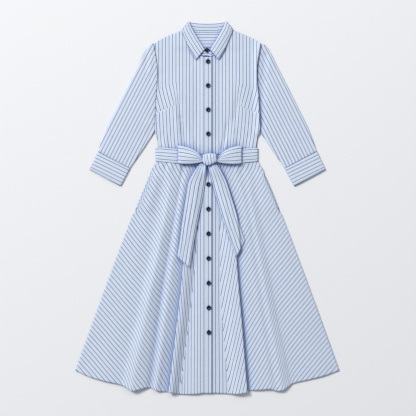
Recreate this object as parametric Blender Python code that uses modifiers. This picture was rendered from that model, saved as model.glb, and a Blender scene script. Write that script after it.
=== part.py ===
"""A belted shirt dress, laid flat on its back with the front up.

The table is z = 0, +Y points to the collar and +X is the wearer's left. Sizes in the tables are in
millimetres and turned to metres where a mesh is made. Every cloth piece is an open sheet through the
middle of its wall, given its thickness by a Solidify modifier.
"""
import math
from collections import namedtuple

import bmesh
import bpy
from mathutils import Vector
from mathutils.bvhtree import BVHTree

MM = 0.001

# Cloth
WALL = 1.2
GAP = 0.3
LAYER = WALL + GAP
FLOOR = WALL / 2
SLACK = 0.5
CUFF_WALL = 1.6

# Waist and belt
WAIST_Y = 178.0
WAIST_HALF = 165.0
BELT_LOW, BELT_HIGH = 154.5, 203.5
BELT_FADE = 48.0
BELT_NIP = 0.036
NIP_REACH = 17.0

# Button band and buttons
BAND_LEFT, BAND_RIGHT = -13.0, 15.5
BAND_TOP, BAND_BOTTOM = 505.0, -619.0
BAND_LIFT, BAND_EDGE_LIFT = 0.1, 0.5
BUTTON_RADIUS = 7.25
BUTTON_HEIGHT = 2.6
BUTTON_SIDES = 16
BUTTON_CLEAR = 0.35
STAND_BUTTON = (-1.0, 527.5)
# Rows of buttons down the band; each button lies a little further across than the last
Row = namedtuple("Row", "count x step_x y step_y")
BUTTON_ROWS = (Row(4, 2.0, 0.4, 490.0, -80.7), Row(7, 3.2, 0.3, 79.0, -82.5))
# A button's outline from its middle on top to its middle below, as shares of its radius and height
Turn = namedtuple("Turn", "radius height")
BUTTON_PROFILE = (
    Turn(0.0, 0.62), Turn(0.55, 0.62), Turn(0.72, 0.96), Turn(0.88, 1.0),
    Turn(1.0, 0.7), Turn(0.92, 0.15), Turn(0.7, 0.0), Turn(0.0, 0.0),
)

# Pocket openings in the side seams
POCKET_HIGH, POCKET_LOW = 104.0, -2.0
POCKET_FADE = 22.0
POCKET_SETBACK = 7.0
POCKET_LIFT = 2.4
POCKET_WIDTH = 24.0

# Height of the left front's wall along the centre, under the button band
Level = namedtuple("Level", "y z")
CENTRE_LINE = (
    Level(-640, 6.1), Level(-300, 5.6), Level(18, 4.3), Level(125, 4.0), Level(178, 3.7),
    Level(215, 4.0), Level(290, 4.8), Level(370, 5.2), Level(440, 4.6), Level(540, 3.9),
)

# The armhole seam and the side seam below it, from the waist up
Edge = namedtuple("Edge", "out y")
SIDE_SEAM = (Edge(165, 178.3), Edge(164, 205), Edge(168, 230))
ARMHOLE = (
    Edge(175, 258), Edge(175, 296), Edge(173, 335), Edge(171, 372), Edge(167.5, 409),
    Edge(165.5, 446), Edge(166.5, 479), Edge(172, 516), Edge(178, 549),
)
YOKE_SEAM = 6
SHOULDER = (Edge(94, 591), Edge(114, 583.5), Edge(136, 574.5), Edge(158, 564))

# How far the front bodice stands over the back at the bust, the waist and the armhole seam
Swell = namedtuple("Swell", "y reach lift")
BUST = Swell(375, 95, 4.2)
WAIST = Swell(178, 45, 0.7)
ARMHOLE_LIFT = 1.4
SIDE_SHARE = 0.82

# Collar sections from its point to the centre back. Each crosses the roll, the neck seam and the
# outer edge; over is 1 where the collar lies on the front and 0 where it lies under the back.
Section = namedtuple("Section", "roll_out roll_y neck_out neck_y edge_out edge_y over")
COLLAR = (
    Section(9.6, 530, 22, 510, 38, 496, 1.0),
    Section(17, 541, 32, 523, 47, 510, 1.0),
    Section(27, 557, 42, 539, 57, 527, 1.0),
    Section(37, 574, 52, 556, 66, 548, 1.0),
    Section(46, 590, 61, 572, 74, 567, 1.0),
    Section(55, 607, 69, 586, 81, 584, 1.0),
    Section(63, 625, 76, 597, 86.5, 597, 0.5),
    Section(56, 621.5, 68, 594, 79, 575, 0.0),
    Section(30, 618, 38, 588, 41, 569, 0.0),
)
CENTRE_BACK = Section(0, 617, 0, 587, 0, 568, 0.0)
FOLD_SECTION = 6
COLLAR_FOLD = 2.2
# Heights of a wall's middle under the back and on the front
NECK_LEVELS = (2.1, 3.7)
STAND_TOP_LEVELS = (3.4, 5.4)
ROLL_LEVELS = (2.0, 7.0)
OVER_LEVELS = (0.6, 8.6)
COLLAR_EDGE_LEVELS = (0.6, 6.6)
SEAM_UNDER_ROLL = 2.5
ROLL_WIDTH = 3.0
LEAF_MIDDLE = 0.45
STAND_FOLD_LEVELS = (3.5, 4.1)
# The sections at the shoulder fold lie inside one another: the way they shift, and their seam's shift
FOLD_INWARD = (-1.0, -0.6)
FOLD_SEAM_SHIFT = (-2.6, -0.4)
FOLD_OVER, FOLD_UNDER = 0.9, 0.03
# The stand's buttoned ends, from the one on top to the one below: three heights at each place
Tab = namedtuple("Tab", "x low_y high_y low_z high_z")
OVER_TABS = (Tab(14, 505.7, 518.5, 5.6, 6.6), Tab(4, 508.5, 527, 5.6, 6.6), Tab(-4, 510, 529, 5.5, 6.4))
UNDER_TAB = Tab(-4, 510, 526, 3.7, 4.4)

# Sleeve rings from armhole to cuff, and the cuff's two ends
Ring = namedtuple("Ring", "outer_x outer_y inner_x inner_y height")
SLEEVE = (
    Ring(181, 551, 176, 256, 3.4), Ring(196, 543, 180, 250, 4.2), Ring(212, 517, 186, 242, 4.6),
    Ring(229, 482, 193, 232, 4.8), Ring(256, 429, 203, 217, 4.8), Ring(283, 375, 212, 202, 4.8),
    Ring(310, 321, 225, 183, 4.8), Ring(337, 266, 243, 157, 4.7), Ring(366.5, 188, 259.6, 132.6, 4.2),
)
CUFF = (
    Ring(366.65, 187.65, 259.75, 132.25, 5.0), Ring(381, 158, 275, 103, 5.0), Ring(395, 130, 290.5, 74, 5.0),
)
CUFF_COLUMNS = 7
# Round of a flattened tube's edge, and how much its top stands up in the middle
TUBE_EDGE, TUBE_ROUND = 1.0, 0.2
TUBE_PUFF = 0.9

# Folds of a front skirt panel. out is the distance from the centre line and rise the height over the
# panel below, each at the waist, hip, knee and hem; hem_y is where the fold meets the hem.
STATIONS = (0.0, 0.2, 0.6, 1.0)
ROWS = (0.0, 0.03, 0.07, 0.10, 0.15, 0.20, 0.25, 0.32, 0.40, 0.49, 0.58, 0.68, 0.79, 0.90, 1.0)
Fold = namedtuple("Fold", "name out rise hem_y")
Lap = namedtuple("Lap", "out depth rise hem_y")
INNER_RIGHT = (
    Fold("flat", (16, 22, 34, 44), (1.2, 2.6, 4.6, 5.4), -623),
    Fold("trough", (18.5, 25, 52, 91), (1.6, 2.6, 2.8, 2.4), -624),
    Fold("bank", (20.5, 30, 62, 104), (1.8, 3.2, 4.6, 5.4), -621),
    Fold("swell", (24.5, 46, 77, 117), (2.4, 5.8, 10.4, 12.8), -618),
)
LAP_RIGHT = Lap((30, 60, 92, 130), (4, 12, 15, 15), (4.8, 8.0, 12.0, 14.0), -617)
OUTER_RIGHT = (
    Fold("hollow", (45, 70, 101, 140), (0.6, 0.8, 1.0, 1.2), -615),
    Fold("bank", (53, 78, 112, 153), (0.9, 2.2, 3.4, 3.8), -614),
    Fold("ridge", (64, 88, 131, 170), (1.4, 4.0, 7.6, 9.0), -611),
    Fold("slope", (72, 95, 144, 181), (1.0, 2.6, 5.2, 6.4), -605),
    Fold("valley", (77, 101, 152, 190), (0.4, 0.4, 0.4, 0.4), -603),
    Fold("rise", (87, 113, 170, 213), (1.0, 3.0, 6.4, 8.2), -603),
    Fold("crest", (116, 132, 192, 250), (2.2, 6.2, 11.0, 13.6), -611),
    Fold("fall", (128, 145, 208, 272), (1.4, 3.4, 6.8, 8.8), -600),
    Fold("foot", (141, 163, 224, 293), (0.4, 0.6, 2.6, 4.0), -591),
    Fold("low", (150, 190, 268, 346), (0.8, 2.2, 3.4, 4.4), -579),
    Fold("flat", (158, 210, 304, 396), (0.5, 1.0, 1.6, 2.0), -565),
    Fold("side", (165, 227, 337, 442), (0.3, 0.3, 0.3, 0.3), -545),
)
INNER_LEFT = (
    Fold("crease", (19.5, 38, 45, 71), (1.0, 1.6, 2.0, 2.4), -622),
    Fold("swell", (23.5, 55, 76, 100), (2.2, 5.6, 9.0, 11.0), -622),
)
LAP_LEFT = Lap((29, 76, 108, 134), (4, 13, 26, 34), (4.8, 8.0, 12.0, 14.0), -617)
OUTER_LEFT = (
    Fold("hollow", (44, 86, 118, 144), (0.4, 0.5, 0.6, 0.6), -611),
    Fold("bank", (60, 97, 131, 159), (0.8, 2.4, 3.4, 4.0), -610),
    Fold("slope", (78, 109, 150, 186), (1.2, 3.4, 4.6, 5.6), -608),
    Fold("ridge", (93, 121, 167, 212), (1.6, 4.0, 5.6, 6.8), -606),
    Fold("dip", (108, 136, 183, 230), (1.0, 2.6, 4.4, 5.6), -612),
    Fold("crest", (128, 149, 198, 252), (1.4, 3.8, 6.8, 8.6), -610),
    Fold("fall", (138, 160, 212, 271), (1.0, 2.2, 4.0, 5.4), -598),
    Fold("foot", (147, 173, 229, 293), (0.4, 0.6, 1.2, 1.8), -586),
    Fold("flat", (156, 206, 294, 376), (0.6, 1.6, 2.4, 2.8), -566),
    Fold("side", (165, 227, 337, 442), (0.3, 0.3, 0.3, 0.3), -545),
)
LAP_ROUND, LAP_SWELL = 0.8, 0.35
LAP_STEP = 2.0
BACK_HEM = ((0.0, -610), (0.3, -606), (0.55, -597), (0.7, -583), (0.85, -564), (1.0, -544))

# The belt's ring, from the centre of the front round its side to the centre of the back; inset is how
# much narrower it is at each edge where it turns
Belt = namedtuple("Belt", "out z inset")
BELT_FRONT = (
    Belt(0, 10.4, 0), Belt(18, 10.4, 0), Belt(30, 10.4, 0), Belt(42, 10.4, 0), Belt(58, 10.3, 0),
    Belt(76, 10.2, 0), Belt(94, 9.3, 0), Belt(110, 8.6, 0), Belt(138, 7.5, 0), Belt(160, 6.5, 0),
    Belt(170.9, 5.7, 0.8), Belt(173.4, 3.4, 2.0),
)
BELT_BACK = (Belt(171.6, 1.0, 0.8), Belt(168, 0.6, 0), Belt(84, 0.6, 0), Belt(0, 0.6, 0))
BELT_ROWS = 4
# The belt's upper edge on the front, drawn down to the knot: distance from the knot and height
Draw = namedtuple("Draw", "out high")
BELT_DRAW = (
    Draw(0, 163), Draw(24, 163), Draw(34, 174), Draw(50, 186.5), Draw(68, 195), Draw(86, 200.5),
    Draw(102, 203.5), Draw(200, 203.5),
)

# Bow loop rows from its root on top, out round its fold and back below. out is from the knot's centre.
KNOT_X, KNOT_Y = 8.0, 161.0
Strip = namedtuple("Strip", "out low high z crown")
LOOP = (
    Strip(19, 155.5, 166.5, 16.4, 0.8), Strip(26, 154, 168, 17.0, 1.0), Strip(36, 151.5, 180, 17.6, 2.4),
    Strip(50, 149, 190, 17.8, 3.4), Strip(68, 147.5, 198, 17.4, 3.4), Strip(86, 147.5, 203, 16.6, 2.8),
    Strip(98, 148.5, 205, 15.6, 1.6), Strip(104, 149.5, 205, 14.8, 0.8), Strip(105.6, 150, 205, 13.7, 0.3),
    Strip(103.6, 150, 205, 12.6, 0.0), Strip(90, 149.5, 203, 12.1, 0.0), Strip(60, 151, 195, 12.1, 0.0),
    Strip(34, 153, 178, 12.6, 0.0), Strip(26, 155, 167.5, 13.5, 0.0), Strip(19, 156, 166, 13.8, 0.0),
)
LOOP_COLUMNS = 6
# Rings of the knot's wrap: how far across, half its height and its top
Wrap = namedtuple("Wrap", "across half top")
KNOT = (
    Wrap(-24.5, 11.8, 20.6), Wrap(-21.5, 15.5, 22.2), Wrap(-14, 18.6, 23.6), Wrap(0, 20.4, 24.4),
    Wrap(14, 18.6, 23.6), Wrap(21.5, 15.5, 22.2), Wrap(24.5, 11.8, 20.6),
)
KNOT_BASE = 11.9
KNOT_SIDES = 16

# Tail rows from the knot to the cut end: the outer and the inner edge, and how far the middle stands up
Tail = namedtuple("Tail", "outer_x outer_y inner_x inner_y crown")
TAIL_RIGHT = (
    Tail(-19, 153, -3, 153, 0.4), Tail(-32, 139, -4, 136, 1.6), Tail(-48, 114, -5, 106, 2.2),
    Tail(-62, 88, -8.5, 78, 2.4), Tail(-69, 52, -13.5, 46, 2.2), Tail(-74, 18, -19, 14, 2.0),
    Tail(-81, -26, -28, -26, 1.6), Tail(-87, -66, -37, -70, 1.4), Tail(-92, -106, -45.5, -118, 1.2),
    Tail(-97, -138, -53, -160, 0.8), Tail(-100.5, -162, -59.5, -200, 0.4),
)
TAIL_LEFT = (
    Tail(23, 153, 2, 153, 0.4), Tail(36, 138, 3.5, 136, 1.6), Tail(54, 108, 11, 107, 2.2),
    Tail(67, 78, 17.5, 80, 2.4), Tail(77, 46, 26, 48, 2.2), Tail(87, 14, 36.5, 14, 2.0),
    Tail(97, -20, 47, -22, 1.6), Tail(107, -54, 60, -62, 1.2), Tail(117, -86, 76, -112, 0.8),
    Tail(125.5, -110, 96, -164, 0.4),
)
TAIL_COLUMNS = 6
REST_ACROSS, REST_ALONG = 18.0, 26.0

COTTON = ("striped_cotton", (0.62, 0.72, 0.87, 1.0), 0.8)
NAVY_BUTTON = ("navy_button", (0.01, 0.013, 0.03, 1.0), 0.35)


def ramp(value, start, end):
    """Rise smoothly from 0 at start to 1 at end."""
    t = min(1.0, max(0.0, (value - start) / (end - start)))
    return t * t * (3.0 - 2.0 * t)


def lerp(a, b, t):
    return a + (b - a) * t


def through(stations, values, t):
    """Read a smooth curve through the values given at the stations."""
    last = len(stations) - 1
    slopes = []
    for i in range(len(stations)):
        before, after = max(0, i - 1), min(last, i + 1)
        slopes.append((values[after] - values[before]) / (stations[after] - stations[before]))
    i = 0
    while i < last - 1 and t > stations[i + 1]:
        i += 1
    width = stations[i + 1] - stations[i]
    s = (t - stations[i]) / width
    start = values[i] * (1 + 2 * s) * (1 - s) ** 2 + slopes[i] * width * s * (1 - s) ** 2
    end = values[i + 1] * s * s * (3 - 2 * s) - slopes[i + 1] * width * s * s * (1 - s)
    return start + end


def clear_scene():
    for item in list(bpy.data.objects):
        bpy.data.objects.remove(item, do_unlink=True)


def make_collection(name):
    collection = bpy.data.collections.new(name)
    bpy.context.scene.collection.children.link(collection)
    return collection


def make_material(name, colour, roughness):
    material = bpy.data.materials.new(name)
    material.use_nodes = True
    shader = material.node_tree.nodes["Principled BSDF"]
    shader.inputs["Base Color"].default_value = colour
    shader.inputs["Roughness"].default_value = roughness
    return material


def make_sheet(name, rows, material, collection, wall=WALL, closed=False):
    """Loft rows of points in millimetres into one sheet and give it its wall."""
    form = bmesh.new()
    grid = [[form.verts.new(Vector(point) * MM) for point in row] for row in rows]
    for upper, lower in zip(grid, grid[1:]):
        pairs = list(zip(upper, upper[1:], lower, lower[1:]))
        if closed:
            pairs.append((upper[-1], upper[0], lower[-1], lower[0]))
        for a, b, c, d in pairs:
            form.faces.new((a, b, d, c))
    mesh = bpy.data.meshes.new(name)
    form.to_mesh(mesh)
    form.free()
    mesh.shade_smooth()
    mesh.materials.append(material)
    piece = bpy.data.objects.new(name, mesh)
    collection.objects.link(piece)
    skin = piece.modifiers.new("wall", "SOLIDIFY")
    skin.thickness = wall * MM
    skin.offset = 0.0
    return piece


def back_height(y, out=0.0):
    """Height of the back's wall: it lies on the table, the belt and the collar's back."""
    belt = ramp(y, BELT_LOW - BELT_FADE, BELT_LOW - 2) * (1 - ramp(y, BELT_HIGH + 2, BELT_HIGH + BELT_FADE))
    collar = ramp(y, 522, 548) * (1 - ramp(out, 98, 135))
    return FLOOR + LAYER * max(belt, collar)


def centre_height(y):
    stations = [level.y for level in CENTRE_LINE]
    values = [level.z for level in CENTRE_LINE]
    return through(stations, values, y)


def side_seam_out(v):
    return through(STATIONS, OUTER_LEFT[-1].out, v)


def belt_nip(y, out):
    """Share of its width that the skirt keeps where the belt draws it in."""
    return 1.0 - BELT_NIP * math.exp(-((y - BELT_LOW) / NIP_REACH) ** 2) * ramp(out, 20, 80)


def pocket_open(y):
    above = ramp(y, POCKET_LOW - POCKET_FADE, POCKET_LOW)
    below = 1 - ramp(y, POCKET_HIGH, POCKET_HIGH + POCKET_FADE)
    return above * below


def lap_columns(lap, v):
    """Points of a fold that lies over: out to its edge, back under it and out again."""
    edge = through(STATIONS, lap.out, v)
    depth = through(STATIONS, lap.depth, v)
    top = through(STATIONS, lap.rise, v)
    low = SLACK
    middle = (top + low) / 2
    round_over = LAP_ROUND + (top - middle) * LAP_SWELL
    tuck = edge - depth
    return [
        (edge - round_over, top), (edge, (top + middle) / 2), (edge - round_over, middle),
        (tuck + round_over, middle), (tuck, (middle + low) / 2), (tuck + round_over, low),
        (edge + LAP_STEP, low),
    ]


def smooth_columns(folds, v, steps):
    """Points of a curve through the folds at one height, with steps points from fold to fold."""
    places = list(range(len(folds)))
    outs = [through(STATIONS, fold.out, v) for fold in folds]
    rises = [through(STATIONS, fold.rise, v) for fold in folds]
    hems = [fold.hem_y for fold in folds]
    points = []
    for i in range((len(folds) - 1) * steps + 1):
        t = i / steps
        rise = max(through(places, rises, t), GAP)
        points.append((through(places, outs, t), rise, through(places, hems, t)))
    return points


def skirt_row(side, v, inner, lap, outer):
    """One row across a front skirt panel, from the centre to the side seam."""
    top_y = WAIST_Y - GAP / 2
    row = []

    def add(out, hem_y, rise=None, z=None):
        y = lerp(top_y, hem_y, v)
        height = z
        if z is None:
            near = ramp(out, side_seam_out(v) - 70, side_seam_out(v) - 30)
            height = back_height(y) + LAYER + rise + POCKET_LIFT * pocket_open(y) * near
        row.append((side * out * belt_nip(y, out), y, height))

    centre_y = lerp(top_y, BAND_BOTTOM, v)
    if side > 0:
        for x in (BAND_LEFT, BAND_RIGHT):
            add(x, BAND_BOTTOM, z=centre_height(centre_y))
    else:
        add(GAP - BAND_LEFT, BAND_BOTTOM, z=centre_height(centre_y) + LAYER)
    for out, rise, hem_y in smooth_columns(inner, v, 1):
        add(out, hem_y, rise)
    for out, rise in lap_columns(lap, v):
        add(out, lap.hem_y, rise)
    for out, rise, hem_y in smooth_columns(outer, v, 1):
        setback = POCKET_SETBACK * pocket_open(lerp(top_y, hem_y, v)) * (out >= side_seam_out(v) - 0.1)
        add(out - setback, hem_y, rise)
    return row


def front_skirt(name, side, inner, lap, outer, material, collection):
    rows = [skirt_row(side, v, inner, lap, outer) for v in ROWS]
    return make_sheet(name, rows, material, collection)


def back_skirt(material, collection):
    fractions = [-share for share, _ in reversed(BACK_HEM)] + [share for share, _ in BACK_HEM[1:]]
    hems = dict(BACK_HEM)
    rows = []
    for v in ROWS:
        row = []
        for share in fractions:
            y = lerp(WAIST_Y - GAP / 2, hems[abs(share)], v)
            out = share * (side_seam_out(v) - WALL)
            row.append((out * belt_nip(y, abs(out)), y, back_height(y)))
        rows.append(row)
    return make_sheet("back_skirt", rows, material, collection)


def pocket(name, side, material, collection):
    """The strip of pocket facing that shows where the side seam is left open."""
    rows = []
    steps = 6
    for i in range(steps + 1):
        y = lerp(POCKET_HIGH, POCKET_LOW, i / steps)
        v = (WAIST_Y - y) / (WAIST_Y - OUTER_LEFT[-1].hem_y)
        edge = side_seam_out(v) - WALL
        height = back_height(y) + LAYER
        rows.append([(side * (edge - POCKET_WIDTH), y, height), (side * edge, y, height)])
    return make_sheet(name, rows, material, collection)


def seam_point(section):
    """The neckline of a panel, just outside the collar stand's lower edge."""
    across = Vector((section.neck_out - section.roll_out, section.neck_y - section.roll_y))
    return Vector((section.neck_out, section.neck_y)) + across.normalized() * 2 * GAP


def swell_at(swell, y):
    return swell.lift * math.exp(-((y - swell.y) / swell.reach) ** 2)


def bodice_height(share, y):
    """How far the front bodice stands over the back: fullest at the bust, low at the seams."""
    bust = swell_at(BUST, y) * math.sin(math.pi * min(1.0, share)) ** 1.3
    armhole = ARMHOLE_LIFT * ramp(y, SIDE_SEAM[-1].y, ARMHOLE[0].y) * ramp(share, SIDE_SHARE, 1.0)
    waist = swell_at(WAIST, y) * (1 - ramp(share, SIDE_SHARE, 1.0))
    return SLACK + bust + armhole + waist


def bodice_front(name, side, material, collection):
    """One front bodice panel: columns fan from the waist to the neckline and the shoulder."""
    tops = [seam_point(section) for section in COLLAR[:FOLD_SECTION + 1]]
    tops += [Vector((edge.out, edge.y)) for edge in SHOULDER + (ARMHOLE[-1],)]
    start = GAP - BAND_LEFT
    if side > 0:
        start = BAND_RIGHT
    tops.insert(0, Vector((start, BAND_TOP + 1)))
    if side > 0:
        tops.insert(0, Vector((BAND_LEFT, BAND_TOP - 1)))
    edges = SIDE_SEAM + ARMHOLE
    reach = ARMHOLE[-1].y - edges[0].y
    rows = []
    for edge in edges:
        s = (edge.y - edges[0].y) / reach
        row = []
        for top in tops:
            share = max(0.0, (top.x - start) / (ARMHOLE[-1].out - start))
            waist_x = lerp(start, WAIST_HALF, share) if top.x >= start else top.x
            bulge = edge.out - lerp(WAIST_HALF, ARMHOLE[-1].out, s)
            x = lerp(waist_x, top.x, s) + bulge * share ** 4
            y = lerp(edges[0].y, top.y, s)
            middle = centre_height(y) + (LAYER if side < 0 else 0.0)
            free = back_height(y, x) + LAYER + bodice_height(share, y)
            height = lerp(middle, max(free, back_height(y, x) + LAYER + GAP), ramp(share, 0.0, 0.16))
            row.append((side * x, y, height))
        rows.append(row)
    return make_sheet(name, rows, material, collection)


def back_bodice(material, collection):
    edges = SIDE_SEAM + ARMHOLE[:YOKE_SEAM + 1]
    shares = [i / 6 for i in range(-6, 7)]
    rows = []
    for edge in edges:
        y = edge.y - (GAP if edge is edges[-1] else 0.0)
        rows.append([(share * edge.out, y, back_height(y, abs(share) * edge.out)) for share in shares])
    return make_sheet("back_bodice", rows, material, collection)


def back_yoke(material, collection):
    """The yoke, from its seam up to the shoulders and the back neckline."""
    half = [seam_point(section) for section in COLLAR[FOLD_SECTION:] + (CENTRE_BACK,)]
    shoulder = [Vector((edge.out, edge.y)) for edge in reversed(SHOULDER + (ARMHOLE[-1],))]
    tops = shoulder + half
    edges = []
    for low, high in zip(ARMHOLE[YOKE_SEAM:], ARMHOLE[YOKE_SEAM + 1:]):
        edges += [low, Edge((low.out + high.out) / 2, (low.y + high.y) / 2)]
    edges.append(ARMHOLE[-1])
    reach = edges[-1].y - edges[0].y
    rows = []
    for s, out in [((edge.y - edges[0].y) / reach, edge.out) for edge in edges]:
        left = []
        for top in tops:
            share = top.x / ARMHOLE[-1].out
            bulge = out - lerp(edges[0].out, ARMHOLE[-1].out, s)
            x = lerp(share * edges[0].out, top.x, s) + bulge * share ** 4
            y = lerp(edges[0].y, top.y, s)
            left.append((x, y, back_height(y, x)))
        rows.append([(-x, y, z) for x, y, z in left] + left[-2::-1])
    return make_sheet("back_yoke", rows, material, collection)


def button_band(material, collection):
    steps = 26
    columns = 4
    rows = []
    for i in range(steps + 1):
        y = lerp(BAND_TOP, BAND_BOTTOM, i / steps)
        row = []
        for j in range(columns):
            x = lerp(BAND_LEFT, BAND_RIGHT, j / (columns - 1))
            lift = BAND_EDGE_LIFT if j == columns - 1 else BAND_LIFT
            row.append((x, y, centre_height(y) + LAYER + lift))
        rows.append(row)
    return make_sheet("button_band", rows, material, collection)


def collar_rows(section, shift=0.0):
    """Points of a collar section, from its seam over the roll to the outer edge."""
    roll = Vector((section.roll_out, section.roll_y))
    edge = Vector((section.edge_out, section.edge_y))
    neck = Vector((section.neck_out, section.neck_y))
    across = (edge - roll).normalized()
    inward = Vector(FOLD_INWARD).normalized() * shift
    start = roll + (neck - roll).normalized() * SEAM_UNDER_ROLL
    if 0.0 < section.over < 1.0:
        start = start + Vector(FOLD_SEAM_SHIFT)
    leaf = [roll, roll + across * ROLL_WIDTH, lerp(roll, edge, LEAF_MIDDLE), edge]
    plan = [start] + [point + inward for point in leaf]
    levels = [STAND_TOP_LEVELS, ROLL_LEVELS, OVER_LEVELS, OVER_LEVELS, COLLAR_EDGE_LEVELS]
    return [(point.x, point.y, lerp(low, high, section.over)) for point, (low, high) in zip(plan, levels)]


def mirrored(half, centre):
    """A whole row of sections from one half and the section at the centre back."""
    other = [[(-x, y, z) for x, y, z in row] for row in half]
    return other + [centre] + half[::-1]


def collar(material, collection):
    half = []
    for i, section in enumerate(COLLAR):
        if i == FOLD_SECTION:
            half.append(collar_rows(section._replace(over=FOLD_OVER), COLLAR_FOLD))
            half.append(collar_rows(section))
            half.append(collar_rows(section._replace(over=FOLD_UNDER), COLLAR_FOLD))
        else:
            half.append(collar_rows(section))
    return make_sheet("collar", mirrored(half, collar_rows(CENTRE_BACK)), material, collection)


def stand_rows(section):
    """Points of the stand, from the neck seam up to the collar's seam."""
    levels = (lerp(*NECK_LEVELS, section.over), lerp(*STAND_TOP_LEVELS, section.over))
    if 0.0 < section.over < 1.0:
        levels = STAND_FOLD_LEVELS
    top = Vector(collar_rows(section)[0][:2])
    neck = Vector((section.neck_out, section.neck_y))
    top = top + (neck - top).normalized() * 3 * GAP
    points = []
    for t in (0.0, 0.5, 1.0):
        plan = lerp(neck, top, t)
        points.append((plan.x, plan.y, lerp(*levels, t)))
    return points


def tab_row(tab):
    return [(tab.x, lerp(tab.low_y, tab.high_y, t), lerp(tab.low_z, tab.high_z, t)) for t in (0.0, 0.5, 1.0)]


def collar_stand(material, collection):
    half = [stand_rows(section) for section in COLLAR]
    over = [tab_row(tab) for tab in OVER_TABS]
    rows = over + mirrored(half, stand_rows(CENTRE_BACK)) + [tab_row(UNDER_TAB)]
    return make_sheet("collar_stand", rows, material, collection)


def tube_ring(ring, side, plan_curve, wall):
    """A flattened ring: over the top from the outer edge to the inner one, and back along the table."""
    floor = wall / 2
    rise = ring.height - floor
    outer = Vector((ring.outer_x, ring.outer_y))
    inner = Vector((ring.inner_x, ring.inner_y))
    along = (inner - outer).normalized()
    edge = TUBE_EDGE + rise * TUBE_ROUND
    first = outer + along * edge
    last = inner - along * edge
    top = []
    bottom = []
    for share, bend in plan_curve:
        point = lerp(first, last, share)
        puff = math.sin(math.pi * share) ** 0.6 * TUBE_PUFF
        top.append((side * (point.x + bend), point.y, ring.height + puff))
        bottom.append((side * (point.x + bend), point.y, floor))
    ends = [(side * outer.x, outer.y, floor + rise / 2), (side * inner.x, inner.y, floor + rise / 2)]
    return [ends[0]] + top + [ends[1]] + bottom[::-1]


def armhole_curve(fade):
    """Shares down the armhole and how far it bends from a straight line."""
    top, low = ARMHOLE[-1], ARMHOLE[0]
    curve = []
    for edge in reversed(ARMHOLE):
        share = (top.y - edge.y) / (top.y - low.y)
        straight = lerp(top.out, low.out, share)
        curve.append((share, (edge.out - straight) * fade))
    return curve


def sleeve(name, side, material, collection):
    rings = []
    last = len(SLEEVE) - 1
    for i, ring in enumerate(SLEEVE):
        curve = armhole_curve((1 - i / last) ** 2)
        rings.append(tube_ring(ring, side, curve, WALL))
    head = rings[0]
    count = len(ARMHOLE)
    for k, edge in enumerate(reversed(ARMHOLE)):
        x = side * (edge.out + GAP)
        head[1 + k] = (x, edge.y, head[1 + k][2])
        head[2 * count + 1 - k] = (x, edge.y, FLOOR)
    return make_sheet(name, rings, material, collection, closed=True)


def cuff(name, side, material, collection):
    shares = [(i / (CUFF_COLUMNS - 1), 0.0) for i in range(CUFF_COLUMNS)]
    rings = [tube_ring(ring, side, shares, CUFF_WALL) for ring in CUFF]
    return make_sheet(name, rings, material, collection, wall=CUFF_WALL, closed=True)


def belt_band(material, collection):
    """The belt's ring round the waist, over the front and under the back."""
    places = [draw.out for draw in BELT_DRAW]
    highs = [draw.high for draw in BELT_DRAW]
    half = BELT_FRONT + BELT_BACK
    ring = [(belt.out, belt) for belt in half] + [(-belt.out, belt) for belt in half[-2:0:-1]]
    rows = []
    for i in range(BELT_ROWS):
        row = []
        for x, belt in ring:
            high = through(places, highs, abs(x - KNOT_X)) if belt in BELT_FRONT else BELT_HIGH
            y = lerp(BELT_LOW + belt.inset, high - belt.inset, i / (BELT_ROWS - 1))
            row.append((x, y, belt.z))
        rows.append(row)
    return make_sheet("belt_band", rows, material, collection, closed=True)


def bow_loop(name, side, material, collection):
    rows = []
    for strip in LOOP:
        row = []
        for j in range(LOOP_COLUMNS):
            share = j / (LOOP_COLUMNS - 1)
            lift = strip.crown * math.sin(math.pi * share)
            row.append((KNOT_X + side * strip.out, lerp(strip.low, strip.high, share), strip.z + lift))
        rows.append(row)
    return make_sheet(name, rows, material, collection)


def bow_knot(material, collection):
    """The wrap of the bow, a flat-bottomed ring round the roots of the loops."""
    rings = []
    for wrap in KNOT:
        ring = []
        for k in range(KNOT_SIDES):
            angle = 2 * math.pi * k / KNOT_SIDES
            y = math.copysign(abs(math.cos(angle)) ** 0.7, math.cos(angle)) * wrap.half
            up = math.copysign(abs(math.sin(angle)) ** 0.8, math.sin(angle))
            z = KNOT_BASE + (wrap.top - KNOT_BASE) * (0.5 + 0.5 * up)
            ring.append((KNOT_X + wrap.across, KNOT_Y + y, z))
        rings.append(ring)
    return make_sheet("bow_knot", rings, material, collection, closed=True)


def panel_below(pieces):
    """A searchable surface of the sheets that something lies on."""
    verts = []
    faces = []
    for piece in pieces:
        start = len(verts)
        verts += [vertex.co / MM for vertex in piece.data.vertices]
        faces += [[start + i for i in face.vertices] for face in piece.data.polygons]
    return BVHTree.FromPolygons(verts, faces)


def rest_height(tree, x, y):
    """Height of a wall's middle that lies clear of everything near a point."""
    highest = 0.0
    for dx in (-REST_ACROSS, -REST_ACROSS / 2, 0.0, REST_ACROSS / 2, REST_ACROSS):
        for dy in (-REST_ALONG, -REST_ALONG / 2, 0.0, REST_ALONG / 2, REST_ALONG):
            hit = tree.ray_cast(Vector((x + dx, y + dy, 100.0)), Vector((0.0, 0.0, -1.0)))[0]
            if hit:
                highest = max(highest, hit.z)
    return highest + LAYER + SLACK


def belt_tail(name, table, below, material, collection):
    rows = []
    for tail in table:
        row = []
        for j in range(TAIL_COLUMNS):
            share = j / (TAIL_COLUMNS - 1)
            x = lerp(tail.outer_x, tail.inner_x, share)
            y = lerp(tail.outer_y, tail.inner_y, share)
            lift = tail.crown * math.sin(math.pi * share)
            row.append((x, y, rest_height(below, x, y) + lift))
        rows.append(row)
    return make_sheet(name, rows, material, collection)


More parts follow.
